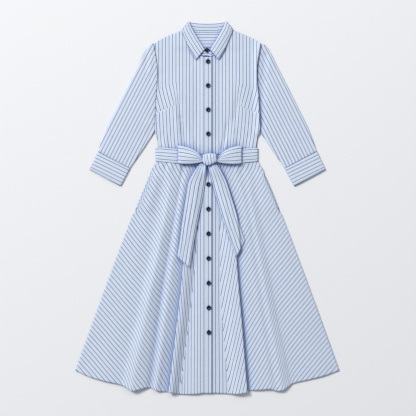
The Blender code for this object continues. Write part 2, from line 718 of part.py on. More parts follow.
def button(name, x, y, base, material, collection):
    """A dished round button: its outline turned about its own axis."""
    form = bmesh.new()
    verts = []
    for turn in BUTTON_PROFILE:
        point = Vector((turn.radius * BUTTON_RADIUS, 0.0, turn.height * BUTTON_HEIGHT))
        verts.append(form.verts.new(point * MM))
    for a, b in zip(verts, verts[1:]):
        form.edges.new((a, b))
    mesh = bpy.data.meshes.new(name)
    form.to_mesh(mesh)
    form.free()
    mesh.materials.append(material)
    piece = bpy.data.objects.new(name, mesh)
    piece.location = (x * MM, y * MM, base * MM)
    collection.objects.link(piece)
    lathe = piece.modifiers.new("lathe", "SCREW")
    lathe.steps = BUTTON_SIDES
    lathe.render_steps = BUTTON_SIDES
    lathe.use_merge_vertices = True
    lathe.merge_threshold = 0.00001
    lathe.use_smooth_shade = True
    return piece


def buttons(material, collection):
    on_cloth = WALL / 2 + GAP
    places = [STAND_BUTTON + (OVER_TABS[1].high_z + on_cloth,)]
    for line in BUTTON_ROWS:
        for i in range(line.count):
            y = line.y + i * line.step_y
            band = centre_height(y) + LAYER + BAND_LIFT
            places.append((line.x + i * line.step_x, y, band + on_cloth + BUTTON_CLEAR))
    for i, (x, y, base) in enumerate(places):
        button(f"button_{i + 1:02d}", x, y, base, material, collection)


def main():
    clear_scene()
    parts = make_collection("shirt_dress")
    cotton = make_material(*COTTON)
    navy = make_material(*NAVY_BUTTON)
    back_skirt(cotton, parts)
    back_bodice(cotton, parts)
    back_yoke(cotton, parts)
    right = front_skirt("front_skirt_right", -1, INNER_RIGHT, LAP_RIGHT, OUTER_RIGHT, cotton, parts)
    left = front_skirt("front_skirt_left", 1, INNER_LEFT, LAP_LEFT, OUTER_LEFT, cotton, parts)
    bodice_front("front_bodice_right", -1, cotton, parts)
    bodice_front("front_bodice_left", 1, cotton, parts)
    band = button_band(cotton, parts)
    collar(cotton, parts)
    collar_stand(cotton, parts)
    for word, side in (("right", -1), ("left", 1)):
        sleeve(f"sleeve_{word}", side, cotton, parts)
        cuff(f"cuff_{word}", side, cotton, parts)
        pocket(f"pocket_{word}", side, cotton, parts)
        bow_loop(f"bow_loop_{word}", side, cotton, parts)
    belt_band(cotton, parts)
    bow_knot(cotton, parts)
    below = panel_below([right, left, band])
    belt_tail("belt_tail_right", TAIL_RIGHT, below, cotton, parts)
    belt_tail("belt_tail_left", TAIL_LEFT, below, cotton, parts)
    buttons(navy, parts)


main()
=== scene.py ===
"""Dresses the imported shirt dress: a yarn-dyed striped cotton, laid flat on a pale board in soft light.

Sizes are in millimetres and turned to metres where a mesh is made. The board is z = 0, +Y points to the
collar and +X is the wearer's left. Each cut piece of cloth is a fine sheet that lies where its solid lies.
Points, cloth maps and stitch maps are arrays of rows by columns by channels.
"""
from __future__ import annotations

import logging
import math
from collections.abc import Iterator, Sequence
from dataclasses import dataclass
from enum import Enum

import bmesh
import bpy
import numpy as np
from mathutils import Matrix, Vector
from mathutils.bvhtree import BVHTree


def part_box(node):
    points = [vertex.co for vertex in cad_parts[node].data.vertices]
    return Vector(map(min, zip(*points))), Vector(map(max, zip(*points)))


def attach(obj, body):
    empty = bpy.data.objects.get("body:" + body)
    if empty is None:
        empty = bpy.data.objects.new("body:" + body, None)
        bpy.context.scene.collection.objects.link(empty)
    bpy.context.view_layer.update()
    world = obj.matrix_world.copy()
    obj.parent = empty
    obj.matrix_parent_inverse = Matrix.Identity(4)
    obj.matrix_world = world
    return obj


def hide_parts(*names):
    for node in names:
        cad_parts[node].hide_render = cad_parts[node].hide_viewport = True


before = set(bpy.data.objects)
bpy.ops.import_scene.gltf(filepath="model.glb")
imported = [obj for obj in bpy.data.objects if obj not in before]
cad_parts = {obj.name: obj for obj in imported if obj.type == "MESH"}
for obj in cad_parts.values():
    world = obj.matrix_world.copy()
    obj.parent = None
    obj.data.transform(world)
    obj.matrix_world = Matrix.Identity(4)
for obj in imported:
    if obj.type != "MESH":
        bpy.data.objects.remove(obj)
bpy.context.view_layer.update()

logging.basicConfig(level=logging.INFO, format="%(message)s")
log = logging.getLogger("shirt_dress")

Array = np.ndarray
Material, Mesh, Object, Socket = (
    bpy.types.Material, bpy.types.Mesh, bpy.types.Object, bpy.types.NodeSocket)
Pair = tuple[float, float]
Row = tuple[float, ...]

MM = 0.001  # a millimetre in metres
REPEAT = 11.5  # one repeat of the stripes
COTTON, FUSED = 0.6, 1.1  # thickness of one layer, and of cloth with its interlining
UNSEWN = 99.0  # a distance from the sewn edge that is too far for topstitching
HEM_STITCH = 12.0  # depth of the hem over the usual distance of the topstitching

WALL, GAP = 1.2, 0.3  # the wall of a solid and the seam between two
LAYER = WALL + GAP
FLOOR = WALL / 2
LEAST_STEP = 0.9  # least height of a sheet over the one below
JUMP = 0.05  # width of a sharp crease

WAIST_Y = 178.0
WAIST_HALF = 165.0
BELT_LOW, BELT_HIGH = 154.5, 203.5
BELT_FADE = 48.0
BELT_NIP = 0.036
NIP_REACH = 17.0
BAND_LEFT, BAND_RIGHT = -13.0, 15.5
BAND_TOP, BAND_BOTTOM = 505.0, -619.0

POCKET_HIGH, POCKET_LOW = 104.0, -2.0
POCKET_FADE = 22.0
POCKET_SETBACK = 7.0
POCKET_LIFT = 2.4
POCKET_WIDTH = 24.0
POCKET_EDGE = 14.0  # how far in from the side seam the pocket's mouth bends
POCKET_SWELL = (70.0, 30.0)  # between these distances from the seam the cloth rises to the mouth
HEM_SIDE = -545.0  # the hem at the side seam

FALL_LOW, FALL_HIGH = 522.0, 548.0  # the back rises here over the collar's back fall
FALL_IN, FALL_OUT = 98.0, 135.0  # and sinks again between these distances from the centre


class Side(Enum):
    """Which half of the dress a piece is on, as the wearer sees it."""

    RIGHT = -1
    LEFT = 1

    @property
    def word(self) -> str:
        """The side's name as it stands in a piece's name."""
        return self.name.lower()


class Held(Enum):
    """How a sheet of cloth lies."""

    LAID = "laid"
    FOLDED = "folded"
    GATHERED = "gathered"


# ---------------------------------------------------------------- curves


def ramp(value: Array | float, start: float, end: float) -> Array:
    """Rise smoothly from 0 at start to 1 at end."""
    t = np.clip((np.asarray(value, dtype=float) - start) / (end - start), 0.0, 1.0)
    return t * t * (3.0 - 2.0 * t)


def bell(value: Array | float, width: float) -> Array:
    """A smooth hump, 1 where value is 0 and fading out over width."""
    return np.exp(-((value / width) ** 2))


def arch(share: Array | float) -> Array:
    """Half a wave, 0 at both ends of the way and 1 in the middle."""
    return np.sin(np.pi * share)


def lerp(a: Array | float, b: Array | float, t: Array | float) -> Array | float:
    """Go the share t of the way from a to b."""
    return a + (b - a) * t


def stack(*parts: Array | float) -> Array:
    """Set values side by side as the channels of one array, each spread to the shape of all."""
    return np.stack(np.broadcast_arrays(*parts), axis=-1)


def join(*parts: Array) -> Array:
    """Set blocks of columns side by side."""
    return np.concatenate(parts, axis=1)


def through(stations: Sequence[float], values: Array, at: Array | float) -> Array:
    """Read a smooth curve through values.

    Args:
        stations: Rising places of the values.
        values: One value, or one row of values, for each station.
        at: Places to read.

    Returns:
        One value, or one row of values, for each place.
    """
    places = np.asarray(stations, dtype=float)
    known = np.asarray(values, dtype=float)
    last = len(places) - 1
    shape = (-1,) + (1,) * (known.ndim - 1)
    before = np.maximum(np.arange(last + 1) - 1, 0)
    after = np.minimum(np.arange(last + 1) + 1, last)
    slopes = (known[after] - known[before]) / (places[after] - places[before]).reshape(shape)
    wanted = np.atleast_1d(np.asarray(at, dtype=float))
    i = np.clip(np.searchsorted(places, wanted, side="left") - 1, 0, last - 1)
    width = (places[i + 1] - places[i]).reshape(shape)
    s = ((wanted - places[i]) / (places[i + 1] - places[i])).reshape(shape)
    start = known[i] * (1 + 2 * s) * (1 - s) ** 2 + slopes[i] * width * s * (1 - s) ** 2
    end = known[i + 1] * s * s * (3 - 2 * s) - slopes[i + 1] * width * s * s * (1 - s)
    return start + end


def smooth(rows: Sequence | Array, count: int) -> Array:
    """Draw count rows evenly along the smooth curve through the given ones."""
    last = len(rows) - 1
    return through(range(last + 1), np.array(rows, dtype=float), np.linspace(0, last, count))


def spread(lines: Array, steps: int) -> Array:
    """Fill in smooth columns between lines.

    Args:
        lines: Rows by lines by channels.
        steps: Columns from one line to the next.

    Returns:
        Rows by columns by channels.
    """
    return np.moveaxis(smooth(np.moveaxis(lines, 1, 0), (lines.shape[1] - 1) * steps + 1), 0, 1)


def resample(points: Sequence[Pair], count: int) -> Array:
    """Place count points at even distances along a polyline of points."""
    line = np.array(points, dtype=float)
    steps = np.r_[0.0, np.cumsum(np.linalg.norm(np.diff(line, axis=0), axis=1))]
    at = np.linspace(0.0, steps[-1], count)
    return stack(*(np.interp(at, steps, values) for values in line.T))


def travelled(points: Array, down: bool = False) -> Array:
    """Distance along each row of points, or down each column, from its first point."""
    axis = 0 if down else 1
    steps = np.linalg.norm(np.diff(points, axis=axis), axis=2)
    return np.insert(np.cumsum(steps, axis=axis), 0, 0.0, axis=axis)


# ---------------------------------------------------------------- cloth


@dataclass(frozen=True)
class Crease:
    """A soft trough or ridge in the cloth, along a straight line.

    Attributes:
        start: Where it starts, x and y.
        end: Where it ends.
        width: How far it reaches to each side.
        lift: Its height in the middle; a trough is below zero.
        fade: The share of its length over which it fades in and out.
        past: The share of its length that it runs on past each end.
    """

    start: Pair
    end: Pair
    width: float
    lift: float
    fade: Pair = (0.3, 0.3)
    past: float = 0.06

    def height(self, x: Array, y: Array) -> Array:
        """How far the crease moves the cloth up at each point."""
        dx, dy = self.end[0] - self.start[0], self.end[1] - self.start[1]
        across, up = x - self.start[0], y - self.start[1]
        length = math.hypot(dx, dy)
        t = (across * dx + up * dy) / length**2
        off = (across * dy - up * dx) / length
        rise = ramp(t, 0.0, self.fade[0]) if self.fade[0] > 0 else 1.0
        fall = 1 - ramp(t, 1.0 - self.fade[1], 1.0) if self.fade[1] > 0 else 1.0
        tail = bell(np.minimum(t, 0.0), self.past) * bell(np.maximum(t - 1.0, 0.0), self.past)
        return self.lift * bell(off, self.width) * rise * fall * tail


def creased(creases: Sequence[Crease], x: Array, y: Array) -> Array:
    """How far creases together move the cloth up at each point."""
    return sum((crease.height(x, y) for crease in creases), np.zeros_like(x))


@dataclass(frozen=True)
class Tuck:
    """A pinch of cloth taken in towards one end of a line, which draws the stripes together.

    Attributes:
        start: Where nothing is taken in yet, distance from the centre and y.
        end: Where most is taken in.
        take: Cloth that is hidden at the end.
        width: How far the pinch reaches to each side.
    """

    start: Pair
    end: Pair
    take: float
    width: float

    def hidden(self, out: Array, y: Array) -> Array:
        """Cloth that is hidden between the centre line and each point."""
        share = (y - self.start[1]) / (self.end[1] - self.start[1])
        line = lerp(self.start[0], self.end[0], np.clip(share, -0.5, 1.5))
        return self.take * np.clip(share, 0.0, 1.3) ** 1.4 * ramp(out, line - self.width, line + self.width)


WAVES = ((170, 0.35, 0.5), (118, 1.25, 0.4), (83, 2.3, 0.32), (57, 0.9, 0.2))  # length, direction and height
WAVE_SIZE = 0.42


def ripple(x: Array, y: Array, seed: float, size: float = 1.0) -> Array:
    """Low uneven waves that pressed cotton keeps, about a third of a millimetre high."""
    total = np.zeros(np.broadcast(x, y).shape)
    for k, (length, turn, high) in enumerate(WAVES):
        angle = turn + seed * (1.7 + k)
        along = x * math.cos(angle) + y * math.sin(angle)
        total = total + high * np.sin(along * 2 * math.pi / length + seed * 9.1 * k)
    return total * WAVE_SIZE * size


def back_height(y: Array, out: Array | float = 0.0) -> Array:
    """Height of the back: it lies on the board, the belt and the collar's back fall."""
    belt = ramp(y, BELT_LOW - BELT_FADE, BELT_LOW - 2) * (1 - ramp(y, BELT_HIGH + 2, BELT_HIGH + BELT_FADE))
    collar = ramp(y, FALL_LOW, FALL_HIGH) * (1 - ramp(out, FALL_IN, FALL_OUT))
    return FLOOR + LAYER * np.maximum(belt, collar)


CENTRE_LINE = (
    (-640, 6.1), (-300, 5.6), (18, 4.3), (125, 4.0), (178, 3.7),
    (215, 4.0), (290, 4.8), (370, 5.2), (440, 4.6), (540, 3.9),
)


def centre_height(y: Array) -> Array:
    """Height of the left front along the centre, under the button band."""
    return through(*zip(*CENTRE_LINE), np.ravel(y)).reshape(np.shape(y))


def under_band(y: Array, end: float, count: int) -> tuple[Array, Array]:
    """Lay the strip of the left front that runs on under the button band.

    Args:
        y: Place of each row.
        end: Where the strip meets the panel.
        count: Columns of the strip.

    Returns:
        Points of the strip, and its stripe counts.
    """
    x, y = np.linspace(BAND_LEFT, end, count)[None, :], y[:, None]
    return stack(x, y, centre_height(y)), (x - BAND_RIGHT) / REPEAT + 0 * y


def pocket_open(y: Array) -> Array:
    """How far the side seam stands open for the hand, from 0 to 1."""
    above = ramp(y, POCKET_LOW - POCKET_FADE, POCKET_LOW)
    return above * (1 - ramp(y, POCKET_HIGH, POCKET_HIGH + POCKET_FADE))


def belt_nip(y: Array, out: Array) -> Array:
    """Share of its width that the skirt keeps where the belt draws it in."""
    return 1.0 - BELT_NIP * bell(y - BELT_LOW, NIP_REACH) * ramp(out, 20, 80)


@dataclass(frozen=True)
class Cut:
    """The cut of what shows of a piece, before it is laid.

    Attributes:
        width: Width of the cut in metres.
        length: Length of the cut in metres.
        area: Area of the cut in square metres.
        held: How the piece lies.
        on: The solids that it lies on.
    """

    width: float
    length: float
    area: float
    held: Held = Held.LAID
    on: tuple[str, ...] = ()


def meshed(form: bmesh.types.BMesh, name: str) -> Mesh:
    """Turn a form into a mesh."""
    mesh = bpy.data.meshes.new(name)
    form.to_mesh(mesh)
    form.free()
    return mesh


def placed(name: str, data: bpy.types.ID) -> Object:
    """Make an object from a mesh, light or camera and put it in the scene."""
    made = bpy.data.objects.new(name, data)
    bpy.context.scene.collection.objects.link(made)
    return made


@dataclass
class ClothSheet:
    """A piece of cloth as rows of points, with the place of each point on the woven cloth.

    Attributes:
        name: Name of the object.
        points: The x, y and z of each point.
        grain: Repeats across the stripes and along them.
        stitch: Distance from the nearest sewn edge and length along it.
        thickness: Thickness of the cloth.
        closed: Whether the last column meets the first.
    """

    name: str
    points: Array
    grain: Array
    stitch: Array | None = None
    thickness: float = COTTON
    closed: bool = False

    def build(self, finish: Material) -> Object:
        """Make the sheet, give it its wall and put its finish on it."""
        rows, columns = self.points.shape[:2]
        form = bmesh.new()
        bmesh.ops.create_grid(form, x_segments=columns - 1, y_segments=rows - 1, size=1.0)
        mesh = meshed(form, self.name)
        mesh.vertices.foreach_set("co", (self.points * MM).ravel())
        corners = np.empty(len(mesh.loops), dtype=np.int32)
        mesh.loops.foreach_get("vertex_index", corners)
        stitch = np.full((rows, columns, 2), UNSEWN) if self.stitch is None else self.stitch
        for label, values in (("cloth", self.grain), ("stitch", stitch)):
            layer = mesh.uv_layers.new(name=label)
            layer.data.foreach_set("uv", values.reshape(-1, 2)[corners].ravel())
        form = bmesh.new()
        form.from_mesh(mesh)
        if self.closed:
            bmesh.ops.remove_doubles(form, verts=form.verts, dist=0.00001)
        bmesh.ops.recalc_face_normals(form, faces=form.faces)
        form.faces.ensure_lookup_table()
        if not self.closed and form.faces[len(form.faces) // 4].normal.z < 0:
            bmesh.ops.reverse_faces(form, faces=form.faces)
        form.to_mesh(mesh)
        form.free()
        mesh.shade_smooth()
        mesh.materials.append(finish)
        piece = placed(self.name, mesh)
        skin = piece.modifiers.new("cloth", "SOLIDIFY")
        skin.thickness = self.thickness * MM
        skin.offset = 0.0
        skin.use_even_offset = False
        return piece


def dress(piece: Object, node: str, cut: Cut | None = None) -> Object:
    """Hang a finished piece from the root and hide the solid that it stands for.

    Args:
        piece: The finished piece.
        node: The solid that it stands for.
        cut: The cut of a sheet of cloth; it is not used.

    Returns:
        The same piece.
    """
    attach(piece, "root")
    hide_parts(node)
    if cut:
        list(cut.on)
    log.info("%s: %d faces", piece.name, len(piece.data.polygons))
    return piece


Laid = Iterator[tuple[str, Cut, ClothSheet]]  # the solid, the cut and the sheet of each piece


class Sewn:
    """Pieces of cloth that are laid together, each in place of its solid."""

    def pieces(self) -> Laid:
        """The solid, the cut and the sheet of each piece."""
        raise NotImplementedError

    def build(self, finish: Material) -> list[Object]:
        """Make the pieces in the cloth's finish, hang each from the root and hide its solid."""
        return [dress(sheet.build(finish), node, cut) for node, cut, sheet in self.pieces()]


# ---------------------------------------------------------------- finishes


def linear(code: str) -> tuple[float, float, float, float]:
    """Turn an sRGB hex colour into linear light."""
    parts = [int(code[i : i + 2], 16) / 255 for i in (1, 3, 5)]
    return (*[c / 12.92 if c <= 0.04045 else ((c + 0.055) / 1.055) ** 2.4 for c in parts], 1.0)


class Finish:
    """A material under construction, with a call for each kind of node that the finishes use."""

    def __init__(self, name: str) -> None:
        """Start a material under the name of its real finish."""
        self.material = bpy.data.materials.new(name)
        self.material.use_nodes = True
        self.tree = self.material.node_tree

    def fill(self, node: bpy.types.Node, inputs: dict[int | str, object]) -> None:
        """Give a node's inputs their values or links."""
        for key, value in inputs.items():
            if isinstance(value, Socket):
                self.tree.links.new(value, node.inputs[key])
            else:
                node.inputs[key].default_value = value

    def add(self, kind: str, inputs: dict[int | str, object] | None = None, out: int | str = 0,
            **settings: object) -> Socket:
        """Add a node.

        Args:
            kind: Node type, without the words that all shader nodes start with.
            inputs: A value or an output for each input.
            out: The output that is wanted.
            **settings: Properties of the node.

        Returns:
            The output.
        """
        node = self.tree.nodes.new("ShaderNode" + kind)
        for name, value in settings.items():
            setattr(node, name, value)
        self.fill(node, inputs or {})
        return node.outputs[out]

    def math(self, operation: str, *values: Socket | float) -> Socket:
        """Work out a sum of up to three values."""
        return self.add("Math", dict(enumerate(values)), operation=operation)

    def map(self, value: Socket, low: float, high: float, start: float, end: float) -> Socket:
        """Turn the range from low to high into the one from start to end."""
        return self.add("MapRange", dict(enumerate((value, low, high, start, end))))

    def noise(self, place: Socket, scale: float, detail: float) -> Socket:
        """Soft noise over a place."""
        return self.add("TexNoise", {0: place, "Scale": scale, "Detail": detail})

    def tones(self, value: Socket, stops: Sequence[tuple[float, str]]) -> Socket:
        """Read a colour ramp with stops at places in hex colours."""
        colour = self.add("ValToRGB", {0: value})
        elements = colour.node.color_ramp.elements
        while len(elements) < len(stops):
            elements.new(0.5)
        for element, (place, code) in zip(elements, stops):
            element.position = place
            element.color = linear(code)
        return colour

    def bump(self, strength: float, distance: float, height: Socket) -> Socket:
        """Turn a height into relief."""
        return self.add("Bump", {"Strength": strength, "Distance": distance, "Height": height})

    def done(self, **inputs: Socket | float | tuple) -> Material:
        """Give the shader its inputs, named with low dashes for spaces, and hand the material over."""
        named = {name.replace("_", " "): value for name, value in inputs.items()}
        self.fill(self.tree.nodes["Principled BSDF"], named)
        return self.material


@dataclass(frozen=True)
class StripedShirting:
    """Yarn-dyed cotton poplin, plain woven, washed soft and pressed.

    The eye gets crisp navy pencil stripes on white, a pale blue bar between each pair, a dry matt face with
    a faint fibre sheen at grazing angles, and slightly uneven yarns along the stripes, with painted blue
    shade in the colour inside folds.

    Attributes:
        line: Colour of the pencil stripe.
        white: Colour of the white yarns.
        bar: Colour of the pale blue bar.
        line_half: Half the width of the pencil stripe in millimetres.
        white_until: Distance from the pencil stripe's middle at which the bar starts.
        edge_soft: How softly one colour turns into the next, as a share of half the repeat.
        thread: Spacing of the threads. Real ones are 0.3 mm apart, too fine to show, so they are coarser.
        stitch_in: Distance of the topstitching from a sewn edge.
        stitch_length: Length of one stitch, drawn longer than the real 2.5 mm so that it shows.
        stitch_share: The share of a stitch's length that its thread covers.
        thread_tone: Colour of the topstitching.
        painted_fold_shade_tone: Colour that the cloth is multiplied towards in deep folds, as painted shade.
        painted_shade_reach: How far off cloth still adds painted shade, in metres.
    """

    line: str = "#4368A3"
    white: str = "#E8EFF9"
    bar: str = "#D5E0F3"
    line_half: float = 1.12
    white_until: float = 3.2
    edge_soft: float = 0.03
    thread: float = 0.9
    stitch_in: float = 5.0
    stitch_length: float = 4.5
    stitch_share: float = 0.78
    thread_tone: str = "#C3D2EA"
    painted_fold_shade_tone: str = "#86A6E0"
    painted_shade_reach: float = 0.042

    def make(self) -> Material:
        """Build the material from the piece's own cloth and stitch maps."""
        finish = Finish("striped_cotton_shirting")
        cloth = finish.add("UVMap", uv_map="cloth")
        across = finish.add("SeparateXYZ", {0: cloth})
        along = across.node.outputs["Y"]
        slub = finish.noise(finish.add("Mapping", {0: cloth, "Scale": (14.0, 0.8, 1.0)}), 1.0, 3.0)
        shift = finish.math("MULTIPLY_ADD", finish.math("SUBTRACT", slub, 0.5), 0.035, across)
        off_line = finish.math("MULTIPLY", finish.math("PINGPONG", shift, 0.5), 2.0)
        half, soft = REPEAT / 2, self.edge_soft
        edge, bar = self.line_half / half, self.white_until / half
        stripes = finish.tones(off_line, (
            (0.0, self.line), (edge - soft, self.line), (edge + soft, self.white),
            (bar - soft, self.white), (bar + soft, self.bar), (1.0, self.bar)))
        uneven = finish.map(slub, 0.3, 0.7, 0.93, 1.04)
        toned = finish.add("VectorMath", {0: stripes, "Scale": uneven}, operation="SCALE")
        stitched, thread_height = self.stitches(finish, toned)
        relief = finish.math("MULTIPLY_ADD", self.weave(finish, across, along), 0.3, thread_height)
        # The base colour carries painted shade: it turns bluer inside folds, where other cloth stands close.
        return finish.done(
            Base_Color=self.folds(finish, stitched), Normal=finish.bump(0.35, 0.0004, relief), Roughness=0.85,
            Specular_IOR_Level=0.25, Sheen_Weight=0.12, Sheen_Roughness=0.45)

    def folds(self, finish: Finish, base: Socket) -> Socket:
        """Paint shade into the colour inside folds: ambient occlusion multiplies it towards a blue tone.

        Args:
            finish: The material.
            base: Colour of the cloth.

        Returns:
            The colour with painted shade, bluer where other cloth stands close by.
        """
        # Painted shade: the less open sky a point has, the more its colour is multiplied towards the fold
        # tone.
        open_sky = finish.add("AmbientOcclusion", {"Distance": self.painted_shade_reach}, "AO", samples=12)
        closed = finish.map(open_sky, 0.35, 0.99, 1.0, 0.0)
        return finish.add("MixRGB", {0: closed, 1: base, 2: linear(self.painted_fold_shade_tone)}, blend_type="MULTIPLY")

    def weave(self, finish: Finish, across: Socket, along: Socket) -> Socket:
        """Height of the plain weave: warp and weft cross over and under."""
        turns = 2 * math.pi * REPEAT / self.thread / 2
        waves = [finish.math("SINE", finish.math("MULTIPLY", way, turns)) for way in (across, along)]
        return finish.math("MULTIPLY", *waves)

    def stitches(self, finish: Finish, base: Socket) -> tuple[Socket, Socket]:
        """Draw a row of topstitching near each sewn edge.

        Args:
            finish: The material.
            base: Colour of the cloth.

        Returns:
            The colour with the thread on it, and the height of the thread in its furrow.
        """
        off = finish.add("SeparateXYZ", {0: finish.add("UVMap", uv_map="stitch")})
        near = finish.math("ABSOLUTE", finish.math("SUBTRACT", off, self.stitch_in))
        part = finish.math("FRACT", finish.math("DIVIDE", off.node.outputs[1], self.stitch_length))
        dash = finish.math("LESS_THAN", part, self.stitch_share)
        shown = finish.math("MULTIPLY", finish.map(near, 0.3, 0.5, 1.0, 0.0), dash)
        furrow = finish.map(near, 0.2, 1.6, -1.0, 0.0)
        colour = finish.add("MixRGB", {0: shown, 1: base, 2: linear(self.thread_tone)})
        return colour, finish.math("MULTIPLY_ADD", shown, 0.8, furrow)


def polished_resin(colour: str = "#0B0E16", cloud: str = "#151A26") -> Material:
    """Cast polyester resin, tumbled to a gloss: near-black navy, faintly clouded, with a soft highlight."""
    finish = Finish("polished_navy_resin")
    clouds = finish.noise(finish.add("TexCoord", out="Object"), 260.0, 2.0)
    tone = finish.tones(clouds, ((0.35, colour), (0.7, cloud)))
    return finish.done(Base_Color=tone, Roughness=0.22, Specular_IOR_Level=0.3)


def sewing_thread(colour: str = "#4A5C84", shade: str = "#2C3A5C") -> Material:
    """Mercerised cotton thread, twisted and slightly shiny, as it stands on buttons and buttonholes."""
    finish = Finish("sewing_thread_blue")
    twist = {0: finish.add("TexCoord", out="Object"), "Scale": 1400.0, "Distortion": 1.5}
    plies = finish.add("TexWave", twist, 1, bands_direction="DIAGONAL")
    tone = finish.add("MixRGB", {0: plies, 1: linear(colour), 2: linear(shade)})
    return finish.done(Base_Color=tone, Normal=finish.bump(0.4, 0.0002, plies), Roughness=0.55)


def painted_board(colour: str = "#F4F4F6") -> Material:
    """A board rolled with matt emulsion: an even near-white with a very faint orange-peel."""
    finish = Finish("matt_white_board")
    peel = finish.noise(finish.add("TexCoord", out="Object"), 380.0, 2.0)
    return finish.done(Base_Color=linear(colour), Normal=finish.bump(0.08, 0.0003, peel), Roughness=0.9,
                       Specular_IOR_Level=0.2)


# ---------------------------------------------------------------- skirt

STATIONS = (0.0, 0.2, 0.6, 1.0)


def from_waist(values: Row, v: Array) -> Array:
    """Read values that are given at the waist, hip, knee and hem, at the share v of the way down."""
    return through(STATIONS, values, v)


@dataclass(frozen=True)
class Fold:
    """A line of the skirt from the waist to the hem.

    Attributes:
        out: Distance from the centre line at the waist, hip, knee and hem.
        rise: Height over the panel below at the same four.
        grain: Stripes counted out from the band, or in from the side seam, at the same four.
        hem_y: Where the line meets the hem.
        restart: Stripe count just outside the line, where cloth is hidden in a sharp crease.
    """

    out: Row
    rise: Row
    grain: Row
    hem_y: float
    restart: Row | None = None

    def line(self, v: Array) -> Array:
        """Distance out, rise, hem and stripe count at the share v of the way down."""
        return stack(from_waist(self.out, v), from_waist(self.rise, v), self.hem_y, from_waist(self.grain, v))


@dataclass(frozen=True)
class Lap:
    """A fold that lies over: out to its edge, back under it and out again.

    Attributes:
        out: Distance of its edge from the centre line at the waist, hip, knee and hem.
        depth: How far it goes back, at the same four.
        rise: Height of its top, at the same four.
        grain: Stripe count at its edge.
        low_grain: Stripe count where the cloth comes out from under it.
        hem_y: Where it meets the hem.
        under: Height of the cloth under it.
        past_edge: How far the cloth runs straight on past the edge.
        round_over: How far the lowest lap rounds over at its edge.
        swell: How much further a lap rounds over for each millimetre of its height.
    """

    out: Row
    depth: Row
    rise: Row
    grain: Row
    low_grain: Row
    hem_y: float
    under: float = 0.5
    past_edge: float = 2.0
    round_over: float = 0.8
    swell: float = 0.35

    def reach(self, v: Array) -> Array:
        """How far the cloth rounds over at the lap's edge."""
        top = from_waist(self.rise, v)
        return self.round_over + (top - (top + self.under) / 2) * self.swell

    def columns(self, v: Array) -> Array:
        """Round the lap's edge, go back under it, turn and come out again."""
        edge, depth, top, grain, low_grain = (
            from_waist(values, v) for values in (self.out, self.depth, self.rise, self.grain, self.low_grain))
        middle = (top + self.under) / 2
        reach = self.reach(v)
        tuck = edge - depth
        over, back = (top - middle) / 2, (middle - self.under) / 2
        low, end = self.under, edge + self.past_edge
        columns = []
        for k in range(1, 10):
            angle = math.pi / 2 - math.pi * k / 9
            columns.append((edge - reach + reach * math.cos(angle), middle + over + over * math.sin(angle),
                            grain + math.pi * reach * k / 9 / REPEAT))
        for k in range(1, 8):
            angle = math.pi / 2 + math.pi * k / 7
            columns.append((tuck + reach + reach * math.cos(angle), low + back + back * math.sin(angle),
                            grain + depth / REPEAT))
        for share in (0.0, 0.5, 1.0):
            out = lerp(tuck + reach, end, share)
            columns.append((out + JUMP, low, low_grain - (end - out) / REPEAT))
        return np.stack([stack(out, rise, self.hem_y, count) for out, rise, count in columns], axis=1)


